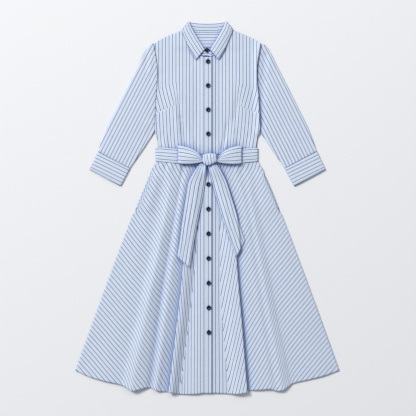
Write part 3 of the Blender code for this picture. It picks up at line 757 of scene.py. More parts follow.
@dataclass(frozen=True)
class FrontSkirt(Sewn):
    """A flared front skirt panel with its raised centre fold and its soft folds to the side.

    Attributes:
        side: The half of the dress.
        inner: Folds from the band to the lap.
        lap: The edge of the raised centre.
        outer: Folds from the lap to the side seam.
        creases: Smaller creases, at their distance from the centre.
        seed: Where the cloth's low waves start.
        cut: The cut of what shows.
        rows: Rows from the waist to the hem.
        steps: Columns from one fold to the next.
        edge_round: How far the side seam's edge rounds out.
        edge_drop: How far it rounds down.
    """

    side: Side
    inner: tuple[Fold, ...]
    lap: Lap
    outer: tuple[Fold, ...]
    creases: tuple[Crease, ...]
    seed: float
    cut: Cut
    rows: int = 170
    steps: int = 12
    edge_round: float = 0.7
    edge_drop: float = 1.2

    def fill(self, v: Array, first: Array, folds: Sequence[Fold], *last: Array) -> Array:
        """Fill in columns between folds, with the stripes restarting at sharp creases.

        Args:
            v: Share of the way from the waist to the hem, for each row.
            first: The line before the folds: distance out, rise, hem and stripe count.
            folds: The folds in their order.
            *last: The line after the folds, if there is one.

        Returns:
            Rows by columns by distance out, rise, hem and stripe count.
        """
        lines = np.stack([first, *(fold.line(v) for fold in folds), *last], axis=1)
        form = spread(lines[:, :, :3], self.steps)
        cuts = [k for k, fold in enumerate(folds, 1) if fold.restart]
        parts = []
        for start, end in zip([0] + cuts, cuts + [lines.shape[1] - 1]):
            grain = lines[:, start : end + 1, 3:].copy()
            columns = form[:, start * self.steps : end * self.steps + 1].copy()
            if start in cuts:
                grain[:, 0, 0] = from_waist(folds[start - 1].restart, v)
                columns[:, 0, 0] += JUMP
            parts.append(np.concatenate([columns, spread(grain, self.steps)], axis=2))
        return join(*parts)

    def columns(self, v: Array) -> Array:
        """All columns of the panel, from the band's edge to the side seam."""
        left = self.side is Side.LEFT
        y = lerp(WAIST_Y, BAND_BOTTOM, v)
        level = centre_height(y) - back_height(y) - LAYER + (0.0 if left else LAYER)
        start = stack((BAND_RIGHT if left else -BAND_LEFT) + GAP, level, BAND_BOTTOM, 0.0)
        brink = Fold(self.lap.out, self.lap.rise, self.lap.grain, self.lap.hem_y).line(v)
        brink[:, 0] -= self.lap.reach(v)
        lap = self.lap.columns(v)
        return join(self.fill(v, start, self.inner, brink), lap[:, :-1], self.fill(v, lap[:, -1], self.outer))

    def pieces(self) -> Laid:
        """Lay the panel."""
        v = np.linspace(0.0, 1.0, self.rows)
        out, rise, hem, grain = np.moveaxis(self.columns(v), 2, 0)
        y = lerp(WAIST_Y, hem, v[:, None])
        seam = from_waist(self.outer[-1].out, v)[:, None]
        opened = pocket_open(y)
        out = out - POCKET_SETBACK * opened * ramp(out, seam - POCKET_EDGE, seam)
        rise = rise + POCKET_LIFT * opened * ramp(out, *(seam - reach for reach in POCKET_SWELL))
        ground = back_height(y) + LAYER
        extra = creased(self.creases, out, y)
        extra = extra + ripple(out, y, self.seed) * ramp(out, 30.0, 70.0) * ramp(seam - out, 0.0, 25.0)
        z = np.maximum(ground + rise + extra, ground - LAYER + LEAST_STEP)
        x = out * belt_nip(y, out)
        drop = self.edge_drop * (1 - opened[:, -1])
        turned_in = stack(x[:, -1] + self.edge_round, y[:, -1], z[:, -1] - drop)
        points = join(stack(x, y, z), turned_in[:, None])
        uv = stack(grain, (WAIST_Y - y) / REPEAT)
        uv = join(uv, uv[:, -1:])
        stitch = stack(points[..., 1] - join(hem, hem[:, -1:]) - HEM_STITCH, points[..., 0])
        points[..., 0] *= self.side.value
        if self.side is Side.LEFT:
            strip, counts = under_band(lerp(WAIST_Y, BAND_BOTTOM, v), BAND_RIGHT, 8)
            points = join(strip, points)
            uv = join(stack(counts, (WAIST_Y - strip[..., 1]) / REPEAT), uv)
            stitch = join(np.full((*counts.shape, 2), UNSEWN), stitch)
        sheet = ClothSheet(f"skirt_front_{self.side.word}", points, uv, stitch)
        yield f"front_skirt_{self.side.word}", self.cut, sheet


SIDE_OUT = (165, 227, 337, 442)
SIDE_GRAIN = (14.3, 25.2, 47.4, 69.5)
SIDE_PACE = (13.9, 15.0, 16.1, 16.1)

RIGHT_SKIRT = FrontSkirt(
    side=Side.RIGHT,
    inner=(
        Fold((16, 22, 34, 44), (1.2, 2.6, 4.6, 5.4), (0.3, 0.8, 2.1, 3.0), -623),
        Fold((18.5, 25, 52, 91), (1.6, 2.2, 1.6, 1.2), (0.4, 1.0, 3.9, 7.8), -624, (0.4, 1.0, 5.4, 12.9)),
        Fold((20.5, 30, 62, 104), (1.8, 3.2, 4.6, 5.4), (0.6, 1.1, 6.4, 14.2), -621),
        Fold((24.5, 46, 77, 117), (2.4, 5.8, 10.4, 12.8), (1.0, 2.2, 7.9, 15.6), -618),
    ),
    lap=Lap((30, 60, 92, 130), (4, 12, 15, 15), (4.8, 8.0, 12.0, 14.0),
            (1.4, 3.4, 9.2, 16.6), (4.7, 13.1, 32.7, 49.4), -617),
    outer=(
        Fold((45, 70, 101, 140), (0.6, 0.8, 1.0, 1.2), (5.9, 14.2, 33.7, 50.2), -615),
        Fold((53, 78, 112, 153), (0.9, 2.2, 3.4, 3.8), (6.6, 15.2, 34.6, 51.1), -614),
        Fold((64, 88, 131, 170), (1.4, 4.0, 7.6, 9.0), (7.4, 16.1, 35.9, 52.3), -611),
        Fold((72, 95, 144, 181), (1.0, 2.6, 5.2, 6.4), (8.1, 16.5, 36.6, 53.4), -605),
        Fold((77, 101, 152, 190), (0.3, 0.3, 0.3, 0.3), (8.2, 17.1, 37.2, 54.1), -603),
        Fold((87, 113, 170, 213), (1.0, 3.0, 6.4, 8.2), (8.9, 18, 38.2, 56.3), -603),
        Fold((116, 132, 192, 250), (2.2, 6.2, 11.0, 13.6), (11, 19.5, 40, 59.1), -611),
        Fold((128, 145, 208, 272), (1.4, 3.4, 6.8, 8.8), (11.7, 20.5, 41.1, 61.1), -600),
        Fold((141, 163, 224, 293), (0.4, 0.6, 2.6, 4.0), (12.6, 21.8, 42, 62.6), -591),
        Fold((150, 190, 268, 346), (0.8, 2.2, 3.4, 4.4), (13.1, 23.4, 44.3, 65.3), -579),
        Fold((158, 210, 304, 396), (0.5, 1.0, 1.6, 2.0), (13.8, 24.7, 46.1, 67.7), -565),
        Fold(SIDE_OUT, (0.3, 0.3, 0.3, 0.3), (14.3, 25.8, 47.5, 69.4), -545),
    ),
    creases=(
        Crease((96, 175), (92, 60), 7, 1.8, (0.0, 0.7)),
        Crease((120, 175), (128, 95), 6, 1.4, (0.0, 0.8)),
        Crease((74, 175), (80, 70), 6, -1.4, (0.0, 0.7)),
        Crease((150, 175), (165, 110), 5, 1.0, (0.0, 0.8)),
        Crease((132, 165), (134, 70), 6, 2.2, (0.0, 0.8)),
        Crease((147, 165), (151, 80), 6, 1.8, (0.0, 0.8)),
    ),
    seed=0.4,
    cut=Cut(0.62, 0.82, 0.27, Held.FOLDED, ("back_skirt",)),
)

LEFT_SKIRT = FrontSkirt(
    side=Side.LEFT,
    inner=(
        Fold((19.5, 38, 45, 71), (1.0, 1.6, 2.0, 2.4), (0.3, 1.9, 2.6, 4.8), -622, (0.3, -1.9, 3.2, 12.2)),
        Fold((23.5, 55, 76, 100), (2.2, 5.6, 9.0, 11.0), (0.8, -0.4, 5.9, 14.6), -622),
    ),
    lap=Lap((29, 76, 108, 134), (4, 13, 26, 34), (4.8, 8.0, 12.0, 14.0),
            (1.3, 1.5, 8.5, 17.2), (4.3, 14.7, 32.6, 48.8), -617),
    outer=(
        Fold((44, 86, 118, 144), (0.4, 0.5, 0.6, 0.6), (5.5, 15.6, 33.4, 49.4), -611),
        Fold((60, 97, 131, 159), (0.8, 2.4, 3.4, 4.0), (6.8, 16.4, 34.4, 50.4), -610),
        Fold((78, 109, 150, 186), (1.2, 3.4, 4.6, 5.6), (8.2, 17.3, 35.8, 52.3), -608),
        Fold((93, 121, 167, 212), (1.6, 4.0, 5.6, 6.8), (9.2, 18.3, 37, 54.2), -606),
        Fold((108, 136, 183, 230), (1.0, 2.6, 4.4, 5.6), (10.1, 19.5, 38.4, 56.1), -612),
        Fold((128, 149, 198, 252), (1.4, 3.8, 6.8, 8.6), (11.5, 20.4, 39.5, 57.6), -610),
        Fold((138, 160, 212, 271), (1.0, 2.2, 4.0, 5.4), (12.1, 21.3, 40.6, 59.6), -598),
        Fold((147, 173, 229, 293), (0.4, 0.6, 1.2, 1.8), (12.8, 22.1, 41.8, 61.9), -586),
        Fold((156, 206, 294, 376), (0.6, 1.6, 2.4, 2.8), (13.7, 24.3, 45.4, 66.5), -566),
        Fold(SIDE_OUT, (0.3, 0.3, 0.3, 0.3), (14.3, 25.6, 47.5, 69.5), -545),
    ),
    creases=(
        Crease((98, 175), (96, 70), 7, 1.8, (0.0, 0.7)),
        Crease((122, 175), (132, 100), 6, 1.4, (0.0, 0.8)),
        Crease((146, 175), (158, 112), 5, 1.0, (0.0, 0.8)),
        Crease((112, 175), (118, 90), 5, -1.0, (0.0, 0.7)),
    ),
    seed=1.3,
    cut=Cut(0.62, 0.82, 0.30, Held.FOLDED, ("back_skirt",)),
)


@dataclass(frozen=True)
class BackSkirt(Sewn):
    """The flared back panel, which lies flat on the board.

    Attributes:
        hem: Place of the hem at shares of the way from the centre to the side seam.
        pleat: The share of the width in which the stripes stand upright.
        rows: Rows from the waist to the hem.
        cut: The cut of what shows.
    """

    hem: tuple[Pair, ...] = ((0.0, -610), (0.3, -606), (0.55, -597), (0.7, -583), (0.85, -564), (1.0, -544))
    pleat: float = 0.3
    rows: int = 110
    cut: Cut = Cut(0.90, 0.80, 0.50, on=("belt_band",))

    def pieces(self) -> Laid:
        """Lay the panel."""
        v = np.linspace(0.0, 1.0, self.rows)[:, None]
        half = np.r_[np.linspace(0, self.pleat, 14), np.linspace(self.pleat + 0.0002, 1.0, 30)]
        share = np.r_[-half[:0:-1], half][None, :]
        size = np.abs(share)
        hem = np.interp(size, *zip(*self.hem))
        y = lerp(WAIST_Y, hem, v)
        seam, pace, count = (from_waist(row, v[:, 0])[:, None] for row in (SIDE_OUT, SIDE_PACE, SIDE_GRAIN))
        out = size * (seam - WALL)
        grain = np.where(size <= self.pleat, out / REPEAT, count - (seam - out) / pace)
        x = np.sign(share) * out * belt_nip(y, out)
        sheet = ClothSheet("skirt_back", stack(x, y, back_height(y)), stack(grain, (WAIST_Y - y) / REPEAT),
                           stack(y - hem - HEM_STITCH, x))
        yield "back_skirt", self.cut, sheet


@dataclass(frozen=True)
class Pocket(Sewn):
    """The strip of pocket facing that shows where the side seam stands open.

    Attributes:
        side: The half of the dress.
        cut: The cut of what shows.
        slant: How far the strip runs down for each repeat that its stripes shift.
    """

    side: Side
    cut: Cut = Cut(0.024, 0.106, 0.0025, on=("back_skirt",))
    slant: float = 20.0

    def pieces(self) -> Laid:
        """Lay the strip."""
        y = np.linspace(POCKET_HIGH, POCKET_LOW, 24)[:, None]
        v = (WAIST_Y - y) / (WAIST_Y - HEM_SIDE)
        edge = from_waist(SIDE_OUT, v[:, 0])[:, None] - WALL
        out = edge - POCKET_WIDTH * np.linspace(1.0, 0.0, 6)[None, :]
        points = stack(out * self.side.value, y, back_height(y) + LAYER)
        uv = stack(out / SIDE_PACE[0] + (WAIST_Y - y) / self.slant, (WAIST_Y - y) / REPEAT)
        yield f"pocket_{self.side.word}", self.cut, ClothSheet(f"pocket_facing_{self.side.word}", points, uv)


# ---------------------------------------------------------------- bodice

SIDE_SEAM = ((165, 178.3), (164, 205), (168, 230))
ARMHOLE = (
    (175, 258), (175, 296), (173, 335), (171, 372), (167.5, 409), (165.5, 446), (166.5, 479),
    (172, 516), (178, 549),
)
YOKE_SEAM = 6  # the armhole's point at which the yoke is sewn on
SHOULDER = ((94, 591), (114, 583.5), (136, 574.5), (158, 564))


@dataclass(frozen=True)
class Section:
    """A cut across the collar, as distances out and places along.

    Attributes:
        roll: Where the collar rolls over.
        neck: The neck seam.
        edge: The outer edge.
        over: 1 where the collar lies on the front and 0 where it lies under the back.
    """

    roll: Pair
    neck: Pair
    edge: Pair
    over: float

    def seam(self) -> Pair:
        """The neckline of a panel, just outside the stand's lower edge."""
        across = np.subtract(self.neck, self.roll)
        return tuple(np.array(self.neck) + across / np.hypot(*across) * 2 * GAP)


SECTIONS = (
    Section((9.6, 530), (22, 510), (38, 496), 1.0),
    Section((17, 541), (32, 523), (47, 510), 1.0),
    Section((27, 557), (42, 539), (57, 527), 1.0),
    Section((37, 574), (52, 556), (66, 548), 1.0),
    Section((46, 590), (61, 572), (74, 567), 1.0),
    Section((55, 607), (69, 586), (81, 584), 1.0),
    Section((63, 625), (76, 597), (86.5, 597), 0.5),
    Section((56, 621.5), (68, 594), (79, 575), 0.0),
    Section((30, 618), (38, 588), (41, 569), 0.0),
    Section((0, 617), (0, 587), (0, 568), 0.0),
)
FOLD_SECTION = 6  # the section at the shoulder, where the collar turns from the front to the back


@dataclass(frozen=True)
class FrontBodice(Sewn):
    """A front bodice panel with its bust dart, its waist tucks and the gathers over the belt.

    Attributes:
        side: The half of the dress.
        dart: The bust dart from the side seam to its point, distance out and y.
        tucks: Cloth taken in towards the waist.
        creases: Soft creases, at their distance from the centre.
        seed: Where the cloth's low waves start.
        dart_point: Distance from the centre at which the dart's pull fades out.
        armhole_lift: How far the armhole's edge stands up.
        dart_take: Cloth that the dart takes in at its line.
        dart_reach: How far above its line the dart pulls.
        dart_split: The step from the row under the dart to the row over it.
        dart_fade: Distance over which the dart's pull fades in past its point.
        bust: Height, place and reach of the fullness over the bust.
        waist: Height and reach of the fullness over the belt.
        cut: The cut of what shows.
    """

    side: Side
    dart: tuple[Pair, Pair]
    tucks: tuple[Tuck, ...]
    creases: tuple[Crease, ...]
    seed: float
    dart_point: float
    armhole_lift: float
    dart_take: float = 17.0
    dart_reach: float = 78.0
    dart_split: float = 0.0003
    dart_fade: float = 34.0
    bust: Row = (4.2, 375, 95)
    waist: Pair = (0.7, 45)
    cut: Cut = Cut(0.20, 0.42, 0.064, on=("back_bodice", "back_yoke"))

    @property
    def start(self) -> float:
        """Distance from the centre line to the panel's edge at the band."""
        return BAND_RIGHT if self.side is Side.LEFT else GAP - BAND_LEFT

    def plan(self) -> tuple[Array, Array, Array]:
        """Distance out, y and share of the width for each point, with one row along each side of the dart."""
        neckline = [section.seam() for section in SECTIONS[: FOLD_SECTION + 1]]
        tops = resample([(self.start, BAND_TOP + 1), *neckline, *SHOULDER, ARMHOLE[-1]], 72)
        edges = np.array(SIDE_SEAM + ARMHOLE, dtype=float)
        share = np.maximum(0.0, (tops[:, 0] - self.start) / (ARMHOLE[-1][0] - self.start))[None, :]

        def place(s: Array) -> tuple[Array, Array]:
            """Distance out and y at the share s of the way up."""
            y_edge = lerp(edges[0, 1], edges[-1, 1], s)
            edge_out = through(edges[:, 1], edges[:, 0], y_edge.ravel()).reshape(s.shape)
            bulge = edge_out - lerp(WAIST_HALF, ARMHOLE[-1][0], s)
            out = lerp(lerp(self.start, WAIST_HALF, share), tops[None, :, 0], s) + bulge * share**4
            return out, lerp(edges[0, 1], tops[None, :, 1], s)

        at_dart = np.full(share.shape, 0.4)
        for _ in range(6):
            at_dart = (self.dart_line(place(at_dart)[0]) - edges[0, 1]) / (tops[None, :, 1] - edges[0, 1])
        below = at_dart * np.linspace(0.0, 1.0, 44)[:, None]
        above = lerp(at_dart + self.dart_split, 1.0, np.linspace(0.0, 1.0, 60)[:, None])
        out, y = place(np.concatenate([below, above]))
        return out, y, share + 0 * out

    def dart_line(self, out: Array) -> Array:
        """Height of the dart's line at each distance from the centre."""
        (far, low), (near, high) = self.dart
        return lerp(low, high, (far - np.maximum(out, near - 20.0)) / (far - near))

    def grain(self, out: Array, y: Array) -> Array:
        """Stripe count, drawn in by the dart above its line and by the tucks towards the waist."""
        taken = sum((tuck.hidden(out, y) for tuck in self.tucks), np.zeros_like(out))
        above = y - self.dart_line(out)
        pull = np.where(above > 0.02, np.maximum(0.0, 1.0 - above / self.dart_reach), 0.0)
        shifted = self.dart_take * pull * ramp(out, self.dart_point, self.dart_point + self.dart_fade)
        return (out - self.start + taken + shifted) / REPEAT

    def pieces(self) -> Laid:
        """Lay the panel."""
        out, y, share = self.plan()
        left = self.side is Side.LEFT
        high, place, reach = self.bust
        bust = high * bell(y - place, reach) * arch(np.minimum(1.0, share)) ** 1.3
        armhole = self.armhole_lift * ramp(y, 230, 262) * ramp(share, 0.86, 0.99)
        waist = self.waist[0] * bell(y - WAIST_Y, self.waist[1]) * (1 - ramp(share, 0.82, 1.0))
        ground = back_height(y, out) + LAYER
        middle = centre_height(y) + (0.0 if left else LAYER)
        z = lerp(middle, ground + 0.5 + bust + armhole + waist, ramp(share, 0.0, 0.16))
        (far, low), (near, high) = self.dart
        dart = Crease((far + 3, low), (near, high), 2.2, -1.1, (0.0, 0.5))
        ridge = Crease((far + 3, low - 5), (near, high - 3), 5.0, 0.4, (0.0, 0.5))
        extra = creased((*self.creases, dart, ridge), out, y)
        extra = extra + ripple(out, y, self.seed) * ramp(share, 0.1, 0.3) * (1 - ramp(share, 0.85, 1.0))
        z = np.maximum(z + extra, ground - LAYER + LEAST_STEP)
        edge = ramp(share, 0.985, 1.0) * (1 - ramp(y, 250, 268))
        points = stack(out * self.side.value, y, z - 0.6 * edge)
        uv = stack(self.grain(out, y), y / REPEAT)
        if left:
            strip, counts = under_band(y[:, 0], BAND_RIGHT - 0.5, 7)
            points, uv = join(strip, points), join(stack(counts, strip[..., 1] / REPEAT), uv)
        sheet = ClothSheet(f"bodice_front_{self.side.word}", points, uv)
        yield f"front_bodice_{self.side.word}", self.cut, sheet


RIGHT_BODICE = FrontBodice(
    side=Side.RIGHT,
    dart=((169, 318), (112, 342)),
    tucks=(
        Tuck((99, 378), (72, 200), 8.0, 12.0),
        Tuck((128, 250), (126, 180), 3.0, 8.0),
        Tuck((46, 240), (42, 180), 2.0, 8.0),
    ),
    creases=(
        Crease((98, 378), (88, 300), 9, -2.4, (0.5, 0.0)),
        Crease((88, 300), (71, 190), 7, -3.0, (0.0, 0.2)),
        Crease((108, 360), (92, 200), 8, 2.0, (0.5, 0.3)),
        Crease((62, 300), (58, 190), 7, 1.3, (0.6, 0.0)),
        Crease((128, 250), (126, 190), 5, -1.8, (0.6, 0.0)),
        Crease((142, 240), (143, 190), 6, 1.2, (0.6, 0.0)),
        Crease((166, 262), (154, 196), 5, -2.0, (0.6, 0.0)),
        Crease((40, 245), (36, 192), 5, -1.6, (0.6, 0.0)),
        Crease((168, 480), (140, 452), 7, 1.0, (0.0, 0.7)),
        Crease((168, 450), (148, 430), 6, -0.8, (0.0, 0.7)),
    ),
    seed=2.1,
    dart_point=84.0,
    armhole_lift=0.6,
)

LEFT_BODICE = FrontBodice(
    side=Side.LEFT,
    dart=((167, 318), (106, 342)),
    tucks=(
        Tuck((103, 390), (84, 240), 4.0, 12.0),
        Tuck((66, 330), (46, 192), 8.0, 10.0),
        Tuck((128, 250), (124, 180), 3.0, 8.0),
    ),
    creases=(
        Crease((102, 395), (88, 262), 9, -2.3, (0.4, 0.4)),
        Crease((90, 300), (84, 195), 8, 1.6, (0.5, 0.2)),
        Crease((68, 300), (60, 240), 6, -2.0, (0.5, 0.0)),
        Crease((60, 240), (47, 190), 5, -3.0, (0.0, 0.1)),
        Crease((70, 250), (58, 192), 6, 1.6, (0.5, 0.1)),
        Crease((126, 250), (124, 190), 6, -1.2, (0.6, 0.0)),
        Crease((140, 262), (132, 190), 5, -2.2, (0.5, 0.0)),
        Crease((150, 240), (146, 190), 6, 1.2, (0.6, 0.0)),
        Crease((104, 250), (100, 192), 6, -1.2, (0.6, 0.0)),
        Crease((168, 470), (146, 446), 7, 0.9, (0.0, 0.7)),
    ),
    seed=3.2,
    dart_point=84.0,
    armhole_lift=7.0,
)


@dataclass(frozen=True)
class Back(Sewn):
    """The back above the waist: a panel flat on the board, and the yoke with its stripes across.

    Attributes:
        bodice_cut: The cut of the panel.
        yoke_cut: The cut of the yoke.
        yoke_repeat: One repeat of the stripes on the yoke.
    """

    bodice_cut: Cut = Cut(0.35, 0.31, 0.103, on=("belt_band",))
    yoke_cut: Cut = Cut(0.36, 0.13, 0.034, on=("collar", "back_bodice"))
    yoke_repeat: float = 10.6

    def bodice(self) -> ClothSheet:
        """Lay the panel from the waist to the yoke seam."""
        edges = np.array(SIDE_SEAM + ARMHOLE[: YOKE_SEAM + 1], dtype=float)
        y = np.linspace(edges[0, 1], edges[-1, 1] - GAP, 60)[:, None]
        wide = through(edges[:, 1], edges[:, 0], y[:, 0])[:, None]
        x = wide * np.linspace(-1.0, 1.0, 61)[None, :]
        points = stack(x, y, back_height(y, np.abs(x)))
        return ClothSheet("bodice_back", points, stack(x / REPEAT, y / REPEAT))

    def yoke(self) -> ClothSheet:
        """Lay the yoke across the shoulders."""
        neck = [section.seam() for section in SECTIONS[FOLD_SECTION:]]
        tops = resample([ARMHOLE[-1], *SHOULDER[::-1], *neck], 46)
        edges = np.array(ARMHOLE[YOKE_SEAM:], dtype=float)
        y_edge = np.linspace(edges[0, 1], edges[-1, 1], 34)
        s = ((y_edge - edges[0, 1]) / (edges[-1, 1] - edges[0, 1]))[:, None]
        wide = np.interp(y_edge, edges[:, 1], edges[:, 0])[:, None]
        share = tops[None, :, 0] / ARMHOLE[-1][0]
        bulge = wide - lerp(edges[0, 0], ARMHOLE[-1][0], s)
        x = lerp(share * edges[0, 0], tops[None, :, 0], s) + bulge * share**4
        y = lerp(edges[0, 1], tops[None, :, 1], s)
        right = stack(-x, y, back_height(y, x))
        points = join(right, right[:, -2::-1] * np.array([-1.0, 1.0, 1.0]))
        uv = stack((points[..., 1] + 2.0) / self.yoke_repeat, points[..., 0] / REPEAT)
        return ClothSheet("yoke", points, uv)

    def pieces(self) -> Laid:
        """Lay both pieces."""
        yield "back_bodice", self.bodice_cut, self.bodice()
        yield "back_yoke", self.yoke_cut, self.yoke()


# ---------------------------------------------------------------- collar and band


def toward(start: Array, end: Array) -> Array:
    """The direction from start to end, one millimetre long."""
    return (end - start) / np.hypot(*(end - start))


@dataclass(frozen=True)
class Collar(Sewn):
    """The fold-over collar with its two points, and the stand that it is sewn to.

    Attributes:
        seam_levels: Heights of the collar's seam under the back and on the front.
        roll_levels: Heights of the roll.
        leaf_levels: Heights of the leaf's middle.
        edge_levels: Heights of the outer edge.
        neck_levels: Heights of the stand's neck seam.
        fold_levels: Heights of the stand's edges at the shoulder, where it folds.
        collar_cut: The cut of the collar.
        stand_cut: The cut of the stand.
        seam_under: How far the collar's seam lies in from the roll.
        roll_width: How far the roll reaches over the leaf.
        leaf_middle: The share of the leaf at which its middle is set.
        fold_shift: How far the rows beside the shoulder's fold move in.
        crown: How far the leaf's middle stands up.
        repeat: One repeat of the stripes on the leaf.
        stand_repeat: One repeat of the stripes on the stand.
        over: The stand's buttoned end, from its tip: points of each row.
        under: The stand's end below it.
    """

    seam_levels: Pair = (3.4, 5.4)
    roll_levels: Pair = (2.0, 7.4)
    leaf_levels: Pair = (0.6, 8.8)
    edge_levels: Pair = (0.6, 6.7)
    neck_levels: Pair = (2.1, 3.7)
    fold_levels: Pair = (3.5, 4.1)
    collar_cut: Cut = Cut(0.42, 0.075, 0.0225, Held.FOLDED, ("front_bodice_left", "front_bodice_right"))
    stand_cut: Cut = Cut(0.36, 0.032, 0.0085, Held.FOLDED, ("back_yoke",))
    seam_under: float = 2.5
    roll_width: float = 3.0
    leaf_middle: float = 0.45
    fold_shift: float = 2.2
    crown: float = 0.9
    repeat: float = 10.8
    stand_repeat: float = 10.6
    over: tuple[tuple[Row, ...], ...] = (
        ((14.5, 508.5, 5.7), (14.6, 512.0, 6.1), (14.5, 516.0, 6.5)),
        ((13.0, 506.4, 5.6), (13.0, 512.5, 6.1), (13.0, 519.5, 6.6)),
        ((4.0, 508.5, 5.6), (4.0, 517.7, 6.1), (4.0, 527.0, 6.6)),
        ((-4.0, 510.0, 5.5), (-4.0, 519.5, 6.0), (-4.0, 529.0, 6.4)),
    )
    under: tuple[Row, ...] = ((-4.0, 510.0, 3.7), (-4.0, 518.0, 4.0), (-4.0, 526.0, 4.4))

    def leaf_row(self, section: Section, over: float, shift: float = 0.0) -> Array:
        """Points of the collar at a section, from its seam over the roll to the outer edge."""
        roll, edge, neck = (np.array(point) for point in (section.roll, section.edge, section.neck))
        inward = np.array((-1.0, -0.6)) / math.hypot(1.0, 0.6) * shift
        start = roll + toward(roll, neck) * self.seam_under
        if 0.0 < over < 1.0:
            start = start + np.array((-2.6, -0.4))
        rounded = roll + toward(roll, edge) * self.roll_width
        middle = lerp(roll, edge, self.leaf_middle)
        plan = [start] + [point + inward for point in (roll, rounded, middle, edge)]
        levels = (self.seam_levels, self.roll_levels, self.leaf_levels, self.leaf_levels, self.edge_levels)
        return np.array([(*point, lerp(*pair, over)) for point, pair in zip(plan, levels)])

    def stand_row(self, section: Section) -> Array:
        """Points of the stand at a section, from the neck seam up to the collar's seam."""
        levels = (lerp(*self.neck_levels, section.over), lerp(*self.seam_levels, section.over))
        if 0.0 < section.over < 1.0:
            levels = self.fold_levels
        top = self.leaf_row(section, section.over)[0, :2]
        neck = np.array(section.neck)
        top = top + toward(top, neck) * 2 * GAP
        return np.array([(*lerp(neck, top, t), lerp(*levels, t)) for t in (0.0, 0.5, 1.0)])

    def whole(self, half: list[Array], centre: Array) -> list[Array]:
        """Rows of both halves, from the right point round the back to the left one."""
        return [row * np.array([-1.0, 1.0, 1.0]) for row in half] + [centre] + half[::-1]

    def leaf(self) -> ClothSheet:
        """Lay the collar's points."""
        fold = SECTIONS[FOLD_SECTION]
        front = [self.leaf_row(section, 1.0) for section in SECTIONS[:FOLD_SECTION]]
        front = smooth(front + [self.leaf_row(fold, 0.9, self.fold_shift)], 49)
        back = [self.leaf_row(section, 0.0) for section in SECTIONS[FOLD_SECTION + 1:]]
        back = smooth([self.leaf_row(fold, 0.03, self.fold_shift)] + back, 22)
        points = spread(np.array(self.whole([*front, self.leaf_row(fold, 0.5), *back[:-1]], back[-1])), 7)
        across = travelled(points)
        roll = across[:, 7:8]
        crown = self.crown * arch(np.clip((across - roll) / (across[:, -1:] - roll), 0, 1))
        points[..., 2] += crown * ramp(points[..., 2], 3.0, 5.0)
        length = travelled(points, down=True)
        uv = stack((across - roll) / self.repeat + 0.25, length / REPEAT)
        to_edge = across[:, -1:] - across
        ends = np.minimum(length, length[-1:] - length)
        stitch = stack(np.minimum(to_edge, ends), np.where(to_edge < ends, length, across))
        return ClothSheet("collar_leaf", points, uv, stitch, FUSED)

    def stand(self) -> ClothSheet:
        """Lay the stand's points, with its buttoned end on top of the other one."""
        half = [self.stand_row(section) for section in SECTIONS[:-1]]
        rows = np.array([*self.over, *self.whole(half, self.stand_row(SECTIONS[-1])), self.under])
        points = spread(smooth(rows, (len(rows) - 1) * 6 + 1), 5)
        uv = stack(travelled(points) / self.stand_repeat + 0.3, travelled(points, down=True) / REPEAT)
        return ClothSheet("collar_stand_cloth", points, uv, None, FUSED)

    def pieces(self) -> Laid:
        """Lay both pieces."""
        yield "collar", self.collar_cut, self.leaf()
        yield "collar_stand", self.stand_cut, self.stand()


@dataclass(frozen=True)
class ButtonBand(Sewn):
    """The folded strip down the front, sewn to the right edge and lying over the left one.

    Attributes:
        rows: Rows down the band.
        columns: Columns across it.
        lift: How far it stands off its solid.
        edge_lift: How far its right edge stands up.
        crown: How far its middle stands up.
        stripe: Place of a pencil stripe.
        cut: The cut of what shows.
    """

    rows: int = 300
    columns: int = 13
    lift: float = 0.2
    edge_lift: float = 0.5
    crown: float = 0.35
    stripe: float = 14.4
    cut: Cut = Cut(0.0285, 1.124, 0.032, on=("front_skirt_left", "front_bodice_left"))

    def pieces(self) -> Laid:
        """Lay the band."""
        y = np.linspace(BAND_TOP, BAND_BOTTOM, self.rows)[:, None]
        x = np.linspace(BAND_LEFT, BAND_RIGHT, self.columns)[None, :]
        share = (x - BAND_LEFT) / (BAND_RIGHT - BAND_LEFT)
        z = centre_height(y) + LAYER + self.lift + self.edge_lift * ramp(share, 0.75, 1.0)
        z = z + self.crown * arch(share) + 0.15 * ripple(x, y, 5.0)
        uv = stack((x - self.stripe) / REPEAT, y / REPEAT)
        stitch = stack(np.minimum(x - BAND_LEFT, BAND_RIGHT - x) + 0.6, y)
        yield "button_band", self.cut, ClothSheet("button_band_cloth", stack(x, y, z), uv, stitch, FUSED)


# ---------------------------------------------------------------- sleeves

SLEEVE_RINGS = (
    ((181, 551), (176, 256), 3.4), ((196, 543), (180, 250), 4.2), ((212, 517), (186, 242), 4.6),
    ((229, 482), (193, 232), 4.8), ((256, 429), (203, 217), 4.8), ((283, 375), (212, 202), 4.8),
    ((310, 321), (225, 183), 4.8), ((337, 266), (243, 157), 4.7), ((366.5, 188), (259.6, 132.6), 4.2),
)
CUFF_RINGS = (
    ((366.65, 187.65), (259.75, 132.25), 5.0), ((381, 158), (275, 103), 5.0), ((395, 130), (290.5, 74), 5.0),
)


